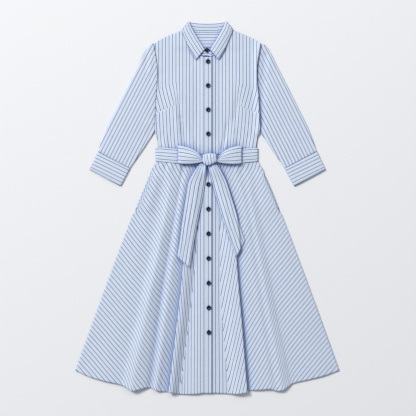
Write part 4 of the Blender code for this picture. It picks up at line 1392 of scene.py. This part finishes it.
@dataclass(frozen=True)
class Sleeve(Sewn):
    """A three-quarter sleeve and its cuff, each a flattened tube.

    Attributes:
        side: The half of the dress.
        lean: Angle of the stripes from upright, in degrees.
        creases: Soft creases, at their distance from the centre.
        seed: Where the cloth's low waves start.
        least_top: Height that a crease can't press the sleeve's top below.
        cuff_wall: The wall of the cuff's solid.
        swell: How much further the edges round in for each millimetre of height.
        puff: How far the top stands up over the solid's.
        ease: How far the outer edge lies in at the shoulder.
        sleeve_cut: The cut of the sleeve, all round.
        cuff_cut: The cut of the cuff, all round.
    """

    side: Side
    lean: float
    creases: tuple[Crease, ...]
    seed: float
    least_top: float = 1.8
    cuff_wall: float = 1.6
    swell: float = 0.2
    puff: float = 0.9
    ease: float = 1.5
    sleeve_cut: Cut = Cut(0.46, 0.40, 0.092)
    cuff_cut: Cut = Cut(0.244, 0.065, 0.0157)

    def armhole_bend(self, share: Array) -> Array:
        """How far the armhole bends from a straight line, down its length."""
        edges = np.array(ARMHOLE[::-1], dtype=float)
        down = (edges[0, 1] - edges[:, 1]) / (edges[0, 1] - edges[-1, 1])
        return np.interp(share, down, edges[:, 0] - lerp(edges[0, 0], edges[-1, 0], down))

    def tube(
        self, rings: Sequence[tuple], rows: int, half: int, wall: float, armhole: bool
    ) -> tuple[Array, Array]:
        """Lay a flattened tube.

        Args:
            rings: Outer corner, inner corner and height of each ring.
            rows: Rows along the tube.
            half: Columns over its top.
            wall: Thickness of the solid's wall.
            armhole: Whether the first ring follows the armhole.

        Returns:
            Points of the tube, and 1 on its top or 0 underneath for each.
        """
        ring = smooth([(*outer, *inner, height) for outer, inner, height in rings], rows)
        outer, inner, height = ring[:, 0:2], ring[:, 2:4], ring[:, 4:]
        floor = wall / 2
        rise = height - floor
        along = (inner - outer) / np.linalg.norm(inner - outer, axis=1)[:, None]
        reach = 1.0 + rise * self.swell
        first, last = outer + along * reach, inner - along * reach
        share = np.linspace(0.0, 1.0, half)[None, :]
        plan = first[:, None] + (last - first)[:, None] * share[:, :, None]
        outer_arc = self.round_edge(outer, floor, rise, along, 1.0)
        inner_arc = self.round_edge(inner, floor, rise, along, -1.0)
        if armhole:
            left = (1 - np.linspace(0, len(rings) - 1, rows) / (len(rings) - 1))[:, None]
            plan[..., 0] += self.armhole_bend(share) * left**2
            outer_arc[..., 0] -= self.ease * left**8
        top = stack(plan[..., 0], plan[..., 1], height + arch(share) ** 0.6 * self.puff)
        low = stack(plan[..., 0], plan[..., 1], floor)
        points = join(outer_arc[:, ::-1], top, inner_arc, low[:, ::-1], outer_arc[:, -1:])
        upper = np.arange(points.shape[1]) < outer_arc.shape[1] + half
        return points, np.broadcast_to(upper, points.shape[:2])

    def round_edge(self, corner: Array, floor: float, rise: Array, along: Array, way: float) -> Array:
        """Points round a tube's edge, from its top to its underside."""
        angles = np.linspace(math.pi / 2, -math.pi / 2, 7)[1:-1][None, :, None]
        reach = (1.0 + rise * self.swell)[:, :, None]
        plan = corner[:, None] + along[:, None] * reach * way * (1.0 - np.cos(angles))
        z = floor + rise[:, :, None] / 2 * (1.0 + np.sin(angles))
        return np.concatenate([plan, z], axis=2)

    def sleeve(self) -> ClothSheet:
        """Lay the sleeve's points."""
        points, upper = self.tube(SLEEVE_RINGS, 110, 60, WALL, True)
        x, y, z = np.moveaxis(points, 2, 0)
        extra = creased(self.creases, x, y) + ripple(x, y, self.seed, 0.8)
        z = np.maximum(z + extra * ramp(z, 2.4, 4.6) * upper, np.minimum(z, self.least_top))
        angle = math.radians(self.lean)
        across = (x * math.cos(angle) + y * math.sin(angle)) / REPEAT
        down = (x * math.sin(angle) - y * math.cos(angle)) / REPEAT
        points = stack(x * self.side.value, y, z)
        return ClothSheet(f"sleeve_cloth_{self.side.word}", points, stack(across, down), closed=True)

    def cuff(self) -> ClothSheet:
        """Lay the cuff's points, with its stripes round the wrist."""
        x, y, z = np.moveaxis(self.tube(CUFF_RINGS, 16, 40, self.cuff_wall, False)[0], 2, 0)
        first = np.array(CUFF_RINGS[0][0], dtype=float)
        axis = toward(first, np.array(CUFF_RINGS[-1][0]))
        down = (x - first[0]) * axis[0] + (y - first[1]) * axis[1]
        round_it = (x - first[0]) * axis[1] - (y - first[1]) * axis[0]
        length = travelled(stack(x, y, z), down=True)
        stitch = stack(np.minimum(length, length[-1:] - length), round_it)
        return ClothSheet(f"cuff_cloth_{self.side.word}", stack(x * self.side.value, y, z),
                          stack((down + 1.5) / REPEAT, round_it / REPEAT), stitch, FUSED, True)

    def pieces(self) -> Laid:
        """Lay the sleeve and the cuff."""
        yield f"sleeve_{self.side.word}", self.sleeve_cut, self.sleeve()
        yield f"cuff_{self.side.word}", self.cuff_cut, self.cuff()


RIGHT_SLEEVE = Sleeve(
    side=Side.RIGHT,
    lean=27.3,
    creases=(
        Crease((200, 535), (210, 440), 9, -1.7, (0.3, 0.5)),
        Crease((186, 520), (196, 420), 7, 1.2, (0.4, 0.5)),
        Crease((180, 470), (200, 400), 7, -0.9, (0.4, 0.5)),
        Crease((183, 300), (230, 250), 8, 0.9, (0.1, 0.7)),
        Crease((188, 270), (222, 215), 6, -0.9, (0.1, 0.7)),
    ),
    seed=0.9,
)

LEFT_SLEEVE = Sleeve(
    side=Side.LEFT,
    lean=26.6,
    creases=(
        Crease((194, 530), (187, 430), 11, -3.2, (0.2, 0.0)),
        Crease((187, 430), (179, 370), 11, -3.4, (0.0, 0.0)),
        Crease((179, 370), (181, 262), 11, -3.4, (0.0, 0.2)),
        Crease((206, 520), (204, 420), 9, 1.1, (0.4, 0.5)),
        Crease((183, 290), (228, 240), 8, 0.8, (0.1, 0.7)),
    ),
    seed=4.4,
)


# ---------------------------------------------------------------- belt

KNOT_X, KNOT_Y = 8.0, 161.0


@dataclass(frozen=True)
class Belt(Sewn):
    """The tie belt: its ring round the waist, two loops, a knot and two tails.

    Attributes:
        below: Surface that the tails lie on.
        ring: Distance out, height and how far its edges draw in, from the centre of the front round to the
            centre of the back.
        left_short: How much shorter the ring's left half is.
        sag: How far the front's lower edge hangs down in the middle.
        draw: Distance from the knot and height of the front's upper edge, which the bow draws down.
        loop: Rows of a loop from its root on top, out round its fold and back below: distance from the
            knot, low and high edge, height and how far its middle stands up.
        knot: Rings of the knot: place across, how far it reaches down and up, and its top.
        knot_base: Height of the knot's underside.
        tail_right: Rows of the right tail: outer and inner edge, and how far its middle stands up.
        tail_left: Rows of the left tail.
        tail_wide: Width of the cloth of a tail.
        loop_wide: Width of the cloth of a loop.
        seam_in: How much nearer to its edges the belt is stitched than other pieces.
        feel: Steps across and along at which a tail feels for what lies under it.
        clear: How far it stays clear of that.
        band_cut: The cut of the ring, all round.
        loop_cut: The cut of a loop.
        knot_cut: The cut of the knot.
        tail_cut: The cut of a tail.
    """

    below: BVHTree
    ring: tuple[Row, ...] = (
        (0, 10.4, 0), (18, 10.4, 0), (30, 10.4, 0), (42, 10.4, 0), (58, 10.3, 0), (76, 10.2, 0), (94, 9.3, 0),
        (110, 8.6, 0), (138, 7.5, 0), (160, 6.5, 0.2), (170.9, 5.7, 2.2), (173.4, 3.4, 4.5),
        (171.6, 1.0, 2.2), (168, 0.6, 0), (84, 0.6, 0), (0, 0.6, 0),
    )
    left_short: float = 0.977
    sag: float = 5.0
    draw: tuple[Pair, ...] = (
        (0, 163), (24, 163), (34, 174), (50, 186.5), (68, 193.5), (86, 196.5), (102, 197.5),
        (135, 200), (170, 203.5),
        (200, 203.5))
    loop: tuple[Row, ...] = (
        (19, 155.5, 166.5, 16.4, 0.8), (26, 154, 168, 17.0, 1.0), (36, 151.5, 180, 17.6, 2.4),
        (50, 149, 191, 17.8, 3.4), (68, 147.5, 200, 17.4, 3.4), (86, 147.5, 205.5, 16.6, 2.8),
        (98, 148.5, 208, 15.6, 1.6), (104, 149.5, 208.5, 14.8, 0.8), (105.6, 150, 208.5, 13.7, 0.3),
        (103.6, 150, 208, 12.6, 0.0), (90, 149.5, 205, 12.1, 0.0), (60, 151, 195, 12.1, 0.0),
        (34, 153, 178, 12.6, 0.0), (26, 155, 167.5, 13.5, 0.0), (19, 156, 166, 13.8, 0.0),
    )
    knot: tuple[Row, ...] = (
        (-24, 4, 12.5, 18.6), (-22, 9, 17, 21), (-16, 15, 19.4, 22.8), (-7, 19.4, 20.4, 24),
        (3, 17, 20.6, 24.4),
        (12, 13, 20.2, 23.8), (19, 9.5, 19, 22.6), (22.6, 7, 16.5, 20.8), (24.4, 3.5, 11, 18.6),
    )
    knot_base: float = 11.9
    tail_right: tuple[Row, ...] = (
        (-19, 153, -3, 153, 0.4), (-32, 139, -4, 136, 1.6), (-48, 114, -5, 106, 2.2),
        (-62, 88, -8.5, 78, 2.4),
        (-69, 52, -13.5, 46, 2.2), (-74, 18, -19, 14, 2.0), (-81, -26, -28, -26, 1.6),
        (-87, -66, -37, -70, 1.4),
        (-92, -106, -45.5, -118, 1.2), (-97, -138, -53, -160, 0.8), (-100.5, -162, -59.5, -200, 0.4),
    )
    tail_left: tuple[Row, ...] = (
        (23, 153, 2, 153, 0.4), (36, 138, 3.5, 136, 1.6), (54, 108, 11, 107, 2.2), (67, 78, 17.5, 80, 2.4),
        (77, 46, 26, 48, 2.2), (87, 14, 36.5, 14, 2.0), (97, -20, 47, -22, 1.6), (107, -54, 60, -62, 1.2),
        (117, -86, 79, -113, 0.8), (125.5, -110, 96, -164, 0.4),
    )
    tail_wide: float = 47.0
    loop_wide: float = 52.0
    seam_in: float = 2.5
    feel: Pair = (15.0, 22.0)
    clear: float = 1.6
    band_cut: Cut = Cut(0.70, 0.049, 0.0343, on=("front_skirt_left", "front_skirt_right"))
    loop_cut: Cut = Cut(0.19, 0.052, 0.0090, Held.GATHERED, ("belt_band",))
    knot_cut: Cut = Cut(0.11, 0.055, 0.0050, Held.FOLDED, ("bow_loop_left", "bow_loop_right"))
    tail_cut: Cut = Cut(0.36, 0.055, 0.0165, on=("front_skirt_left", "front_skirt_right"))

    def band(self) -> ClothSheet:
        """Lay the ring round the waist."""
        half = np.array(self.ring, dtype=float)
        table = np.concatenate([half, half[-2:0:-1] * (-1.0, 1.0, 1.0), half[:1]])
        steps = np.r_[0.0, np.cumsum(np.hypot(*np.diff(table[:, :2], axis=0).T))]
        at = np.concatenate([np.linspace(a, b, 8)[:-1] for a, b in zip(steps, steps[1:])] + [steps[-1:]])
        x, z, inset = (np.interp(at, steps, values)[None, :] for values in table.T)
        front = ramp(z, 3.4, 5.7)
        drawn = through(*zip(*self.draw), np.abs(x[0] - KNOT_X))[None, :]
        low = BELT_LOW + inset - self.sag * (1 - ramp(np.abs(x), 85.0, 172.0)) * front
        share = np.linspace(0.0, 1.0, 22)[:, None]
        y = lerp(low, lerp(BELT_HIGH, drawn, front) - inset, share)
        crown = 0.8 * arch(share) * ramp(z, 5.0, 6.5)
        gather = 0.8 * np.cos(share * 2 * math.pi * 2.5 + 0.6) * bell(x - KNOT_X, 90) * front
        x = np.where(x > 0, x * self.left_short, x)
        wide = BELT_HIGH - BELT_LOW
        uv = stack((share * wide + self.seam_in) / REPEAT, at[None, :] / REPEAT)
        stitch = stack(np.minimum(share, 1 - share) * wide + self.seam_in, at[None, :])
        return ClothSheet("belt_ring", stack(x, y, z + crown + gather * arch(share)), uv, stitch, closed=True)

    def bow_loop(self, side: Side) -> ClothSheet:
        """Lay a loop: gathered at the knot and folded at its outer end."""
        out, low, high, level, crown = smooth(self.loop, 90).T[:, :, None]
        share = np.linspace(0.0, 1.0, 34)[None, :]
        phase, valley = (0.4, 0.4) if side is Side.RIGHT else (1.6, 0.76)
        gather = 1.1 * np.cos(share * 2 * math.pi * 2.5 + phase) * bell(np.maximum(out - 19, 0), 34)
        gather = gather * arch(share) ** 0.5
        sag = 0.8 * np.sin(share * 2 * math.pi + phase) * ramp(out, 40, 80) * (1 - ramp(out, 92, 104))
        crease = -3.2 * bell(share - valley, 0.08) * bell(out - 34, 18)
        z = level + crown * arch(share) + (gather + sag + crease) * ramp(level, 14.2, 15.6)
        points = stack(KNOT_X + side.value * out, lerp(low, high, share), z)
        length = travelled(points, down=True)
        uv = stack((share * self.loop_wide + 2.0) / REPEAT, length / REPEAT)
        stitch = stack(np.minimum(share, 1 - share) * self.loop_wide + self.seam_in, length)
        return ClothSheet(f"bow_loop_cloth_{side.word}", points, uv, stitch)

    def bow_knot(self) -> ClothSheet:
        """Lay the knot's wrap round the roots of the loops."""
        across, below, above, top = smooth(self.knot, 26).T[:, :, None]
        angle = np.linspace(0.0, 2 * math.pi, 49)[None, :]
        side, up = (np.sign(way) * np.abs(way) ** 0.8 for way in (np.cos(angle), np.sin(angle)))
        y = side * np.where(np.cos(angle) < 0, below, above)
        folds = 0.55 * np.sin(across * 2 * math.pi / 15 + 0.7 + y * 0.05)
        z = self.knot_base + (top - self.knot_base) * (0.5 + 0.5 * up) + folds * ramp(up, 0.1, 0.7)
        x = KNOT_X + across + 0.03 * (y + 4) * np.sin(across * 0.2)
        uv = stack((across + 24.0 + 0.14 * y) / 9.9 + 0.2, angle * 8.5 / REPEAT)
        return ClothSheet("bow_knot_cloth", stack(x, KNOT_Y + y, z), uv, closed=True)

    def tail(self, side: Side) -> ClothSheet:
        """Lay a tail on the skirt, rising over the folds under it."""
        right = side is Side.RIGHT
        rows = smooth(self.tail_right if right else self.tail_left, 96)
        x_out, y_out, x_in, y_in, middle = rows.T[:, :, None]
        share = np.linspace(0.0, 1.0, 20)[None, :]
        x, y = lerp(x_out, x_in, share), lerp(y_out, y_in, share)
        rest = np.array([[self.rest_height(*point) for point in zip(*row)] for row in zip(x, y)])
        gather = 0.9 * np.cos(share * 2 * math.pi * 2 + 0.5 * side.value) * bell(153 - y, 40)
        crown = middle * arch(share) + 5.0 * bell(y - 126, 26)
        if right:
            crease = 4.5 * bell(share - 0.84, 0.14) - 2.5 * bell(share - 0.5, 0.12)
            crown = crown + crease * bell(y - 136, 30)
        wave = 0.5 * np.sin((153 - y) / 46 + side.value)
        points = stack(x, y, rest + crown + gather + wave * arch(share))
        width = np.linalg.norm(points[:, -1] - points[:, 0], axis=1)[:, None]
        length = travelled(points, down=True)
        uv = stack(share * self.tail_wide / REPEAT + 0.3, length / REPEAT)
        to_edge = np.minimum(np.minimum(share, 1 - share) * width, length[-1:] - length)
        return ClothSheet(f"belt_tail_cloth_{side.word}", points, uv, stack(to_edge + self.seam_in, length))

    def rest_height(self, x: float, y: float) -> float:
        """Height at which cloth lies clear of everything near a point."""
        highest = 0.0
        for i, j in np.ndindex(3, 3):
            near_x, near_y = x + (i - 1) * self.feel[0], y + (j - 1) * self.feel[1]
            hit = self.below.ray_cast(Vector((near_x * MM, near_y * MM, 0.1)), Vector((0.0, 0.0, -1.0)))[0]
            if hit:
                highest = max(highest, hit.z / MM)
        return highest + self.clear

    def pieces(self) -> Laid:
        """Lay the ring, the knot, and the loop and tail of each side."""
        yield "belt_band", self.band_cut, self.band()
        yield "bow_knot", self.knot_cut, self.bow_knot()
        for side in Side:
            yield f"bow_loop_{side.word}", self.loop_cut, self.bow_loop(side)
            yield f"belt_tail_{side.word}", self.tail_cut, self.tail(side)


def surface_of(pieces: Sequence[Object]) -> BVHTree:
    """Gather the sheets of pieces into one searchable surface."""
    verts: list[Vector] = []
    faces: list[list[int]] = []
    for piece in pieces:
        start = len(verts)
        verts += [vertex.co.copy() for vertex in piece.data.vertices]
        faces += [[start + i for i in face.vertices] for face in piece.data.polygons]
    return BVHTree.FromPolygons(verts, faces)


# ---------------------------------------------------------------- buttons


def turned(degrees: float) -> Matrix:
    """A turn about the upright axis."""
    return Matrix.Rotation(math.radians(degrees), 3, "Z")


@dataclass(frozen=True)
class Button:
    """A dished four-hole resin button, with its thread and the end of its buttonhole.

    Attributes:
        node: The solid that it stands for.
        turn: Angle of its holes in degrees.
        profile: Radius and height of its outline from the dish round its rim to its underside.
        hole_ring: Distance of its holes from its middle.
        hole_radius: Radius of a hole.
        hole_half: Half the length of the upright buttonhole in the band.
        hole_end: Half sizes of the sewn bar at each end of the buttonhole.
        thread_half: Half the thickness of the thread between two holes.
        sides: Corners of the outline.
        lift: How far above its solid it sits, on the fuller cloth.
    """

    node: str
    turn: float
    profile: tuple[Pair, ...] = (
        (4.3, 1.45), (4.9, 1.75), (5.4, 2.25), (5.9, 2.5), (6.4, 2.6), (6.9, 2.45), (7.2, 2.05),
        (7.25, 1.6), (7.0, 0.9), (6.4, 0.35), (5.4, 0.1), (4.3, 0.0),
    )
    hole_ring: float = 1.75
    hole_radius: float = 0.75
    hole_half: float = 7.4
    hole_end: Row = (1.3, 1.6, 0.4)
    thread_half: float = 0.42
    sides: int = 40
    lift: float = 0.35

    def ring(self, form: bmesh.types.BMesh, radius: float, z: float, sides: int, centre: Vector) -> list:
        """Add a ring of edges at a height, in an order that is the same in each run."""
        verts = bmesh.ops.create_circle(form, segments=sides, radius=radius)["verts"]
        bmesh.ops.translate(form, verts=verts, vec=centre + Vector((0.0, 0.0, z)))
        return list(dict.fromkeys(edge for vertex in verts for edge in vertex.link_edges))

    def disc(self) -> Mesh:
        """Model the button with its four holes, in millimetres about its own axis."""
        form = bmesh.new()
        rings = [self.ring(form, radius, z, self.sides, Vector()) for radius, z in self.profile]
        for inner, outer in zip(rings, rings[1:]):
            bmesh.ops.bridge_loops(form, edges=inner + outer)
        upper, lower = list(rings[0]), list(rings[-1])
        for k in range(4):
            angle = math.radians(45 + 90 * k)
            centre = Vector((math.cos(angle), math.sin(angle), 0.0)) * self.hole_ring
            mouth, floor = (
                self.ring(form, self.hole_radius, self.profile[end][1], 12, centre) for end in (0, -1))
            bmesh.ops.bridge_loops(form, edges=mouth + floor)
            upper += mouth
            lower += floor
        for edges in (upper, lower):
            bmesh.ops.triangle_fill(form, use_beauty=True, edges=edges)
        bmesh.ops.remove_doubles(form, verts=form.verts, dist=0.001)
        bmesh.ops.recalc_face_normals(form, faces=form.faces)
        return meshed(form, self.node)

    def stitches(self) -> Mesh:
        """Model the thread that crosses from hole to hole, and the buttonhole's sewn end bars."""
        form = bmesh.new()
        thread = (self.hole_ring + 0.5, self.thread_half, self.thread_half)
        parts = [(thread, (0.0, 0.0, self.profile[0][1] + 0.12), turn) for turn in (45, 135)]
        parts += [(self.hole_end, (0.0, way * self.hole_half, 0.1), -self.turn) for way in (-1, 1)]
        for size, shift, turn in parts:
            verts = bmesh.ops.create_uvsphere(form, u_segments=12, v_segments=8, radius=1.0)["verts"]
            bmesh.ops.scale(form, verts=verts, vec=size)
            bmesh.ops.translate(form, verts=verts, vec=shift)
            bmesh.ops.rotate(form, verts=verts, cent=(0, 0, 0), matrix=turned(turn))
        return meshed(form, f"{self.node}_thread")

    def build(self, resin: Material, thread: Material) -> None:
        """Make the button in resin with its thread, hang both from the root and hide its solid."""
        low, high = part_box(self.node)
        seat = Vector(((low[0] + high[0]) / 2, (low[1] + high[1]) / 2, low[2] + self.lift * MM))
        pieces = []
        for kind, mesh, finish in (("resin", self.disc(), resin), ("thread", self.stitches(), thread)):
            for vertex in mesh.vertices:
                vertex.co = (turned(self.turn) @ vertex.co) * MM + seat
            mesh.shade_smooth()
            mesh.materials.append(finish)
            pieces.append(placed(f"{kind}_{self.node}", mesh))
        dress(pieces[0], self.node)
        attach(pieces[1], "root")


BUTTON_TURNS = (12, 50, 5, 33, 71, 20, 58, 8, 41, 66, 15, 52)  # degrees, from the collar down


# ---------------------------------------------------------------- studio


@dataclass(frozen=True)
class Studio:
    """The pale board, the soft lights and the camera that looks straight down.

    Attributes:
        view_width: Width of the board that the camera sees, in metres.
        centre: The point on the board under the camera.
        lens: Focal length of the camera.
        sensor: Width of its sensor.
        sky: Colour of the light from all sides.
        sky_strength: Strength of that light.
    """

    view_width: float = 1.3936
    centre: Pair = (0.002, 0.0)
    lens: float = 85.0
    sensor: float = 36.0
    sky: Row = (0.9, 0.95, 1.0, 1.0)
    sky_strength: float = 0.37

    def build(self) -> None:
        """Lay the board and set up the camera and the lights."""
        form = bmesh.new()
        bmesh.ops.create_grid(form, x_segments=4, y_segments=4, size=4.0)
        mesh = meshed(form, "board")
        mesh.materials.append(painted_board())
        placed("board", mesh)
        self.camera()
        self.light("key", (-8.0, 7.0, 9.0), 4.0, 1560.0, (1.0, 0.985, 0.965))
        self.light("top", (0.4, 3.2, 2.8), 1.6, 20.0, (1.0, 0.995, 0.985))
        world = bpy.data.worlds.new("studio")
        world.use_nodes = True
        for socket, value in zip(world.node_tree.nodes["Background"].inputs, (self.sky, self.sky_strength)):
            socket.default_value = value
        bpy.context.scene.world = world
        bpy.context.scene.view_settings.view_transform = "Standard"

    def camera(self) -> None:
        """Hang the camera over the dress."""
        data = bpy.data.cameras.new("camera")
        data.lens = self.lens
        data.sensor_width = self.sensor
        data.dof.use_dof = False
        camera = placed("camera", data)
        camera.location = (*self.centre, self.view_width * self.lens / self.sensor)
        bpy.context.scene.camera = camera

    def light(self, name: str, place: Row, size: float, power: float, colour: Row) -> None:
        """Hang a square soft light that faces the dress."""
        data = bpy.data.lights.new(name, "AREA")
        data.size = size
        data.energy = power
        data.color = colour
        lamp = placed(name, data)
        lamp.location = place
        lamp.rotation_euler = (-Vector(place)).to_track_quat("-Z", "Y").to_euler()


def main() -> None:
    """Build the dress piece by piece and set it in its studio."""
    shirting = StripedShirting().make()
    resin, thread = polished_resin(), sewing_thread()
    for piece in (BackSkirt(), Back()):
        piece.build(shirting)
    skirts = RIGHT_SKIRT.build(shirting) + LEFT_SKIRT.build(shirting)
    for bodice in (RIGHT_BODICE, LEFT_BODICE):
        bodice.build(shirting)
    band = ButtonBand().build(shirting)
    for piece in (Collar(), RIGHT_SLEEVE, LEFT_SLEEVE, *(Pocket(side) for side in Side)):
        piece.build(shirting)
    Belt(surface_of(skirts + band)).build(shirting)
    for number, turn in enumerate(BUTTON_TURNS, 1):
        Button(f"button_{number:02d}", turn).build(resin, thread)
    Studio().build()


if __name__ == "__main__":
    main()
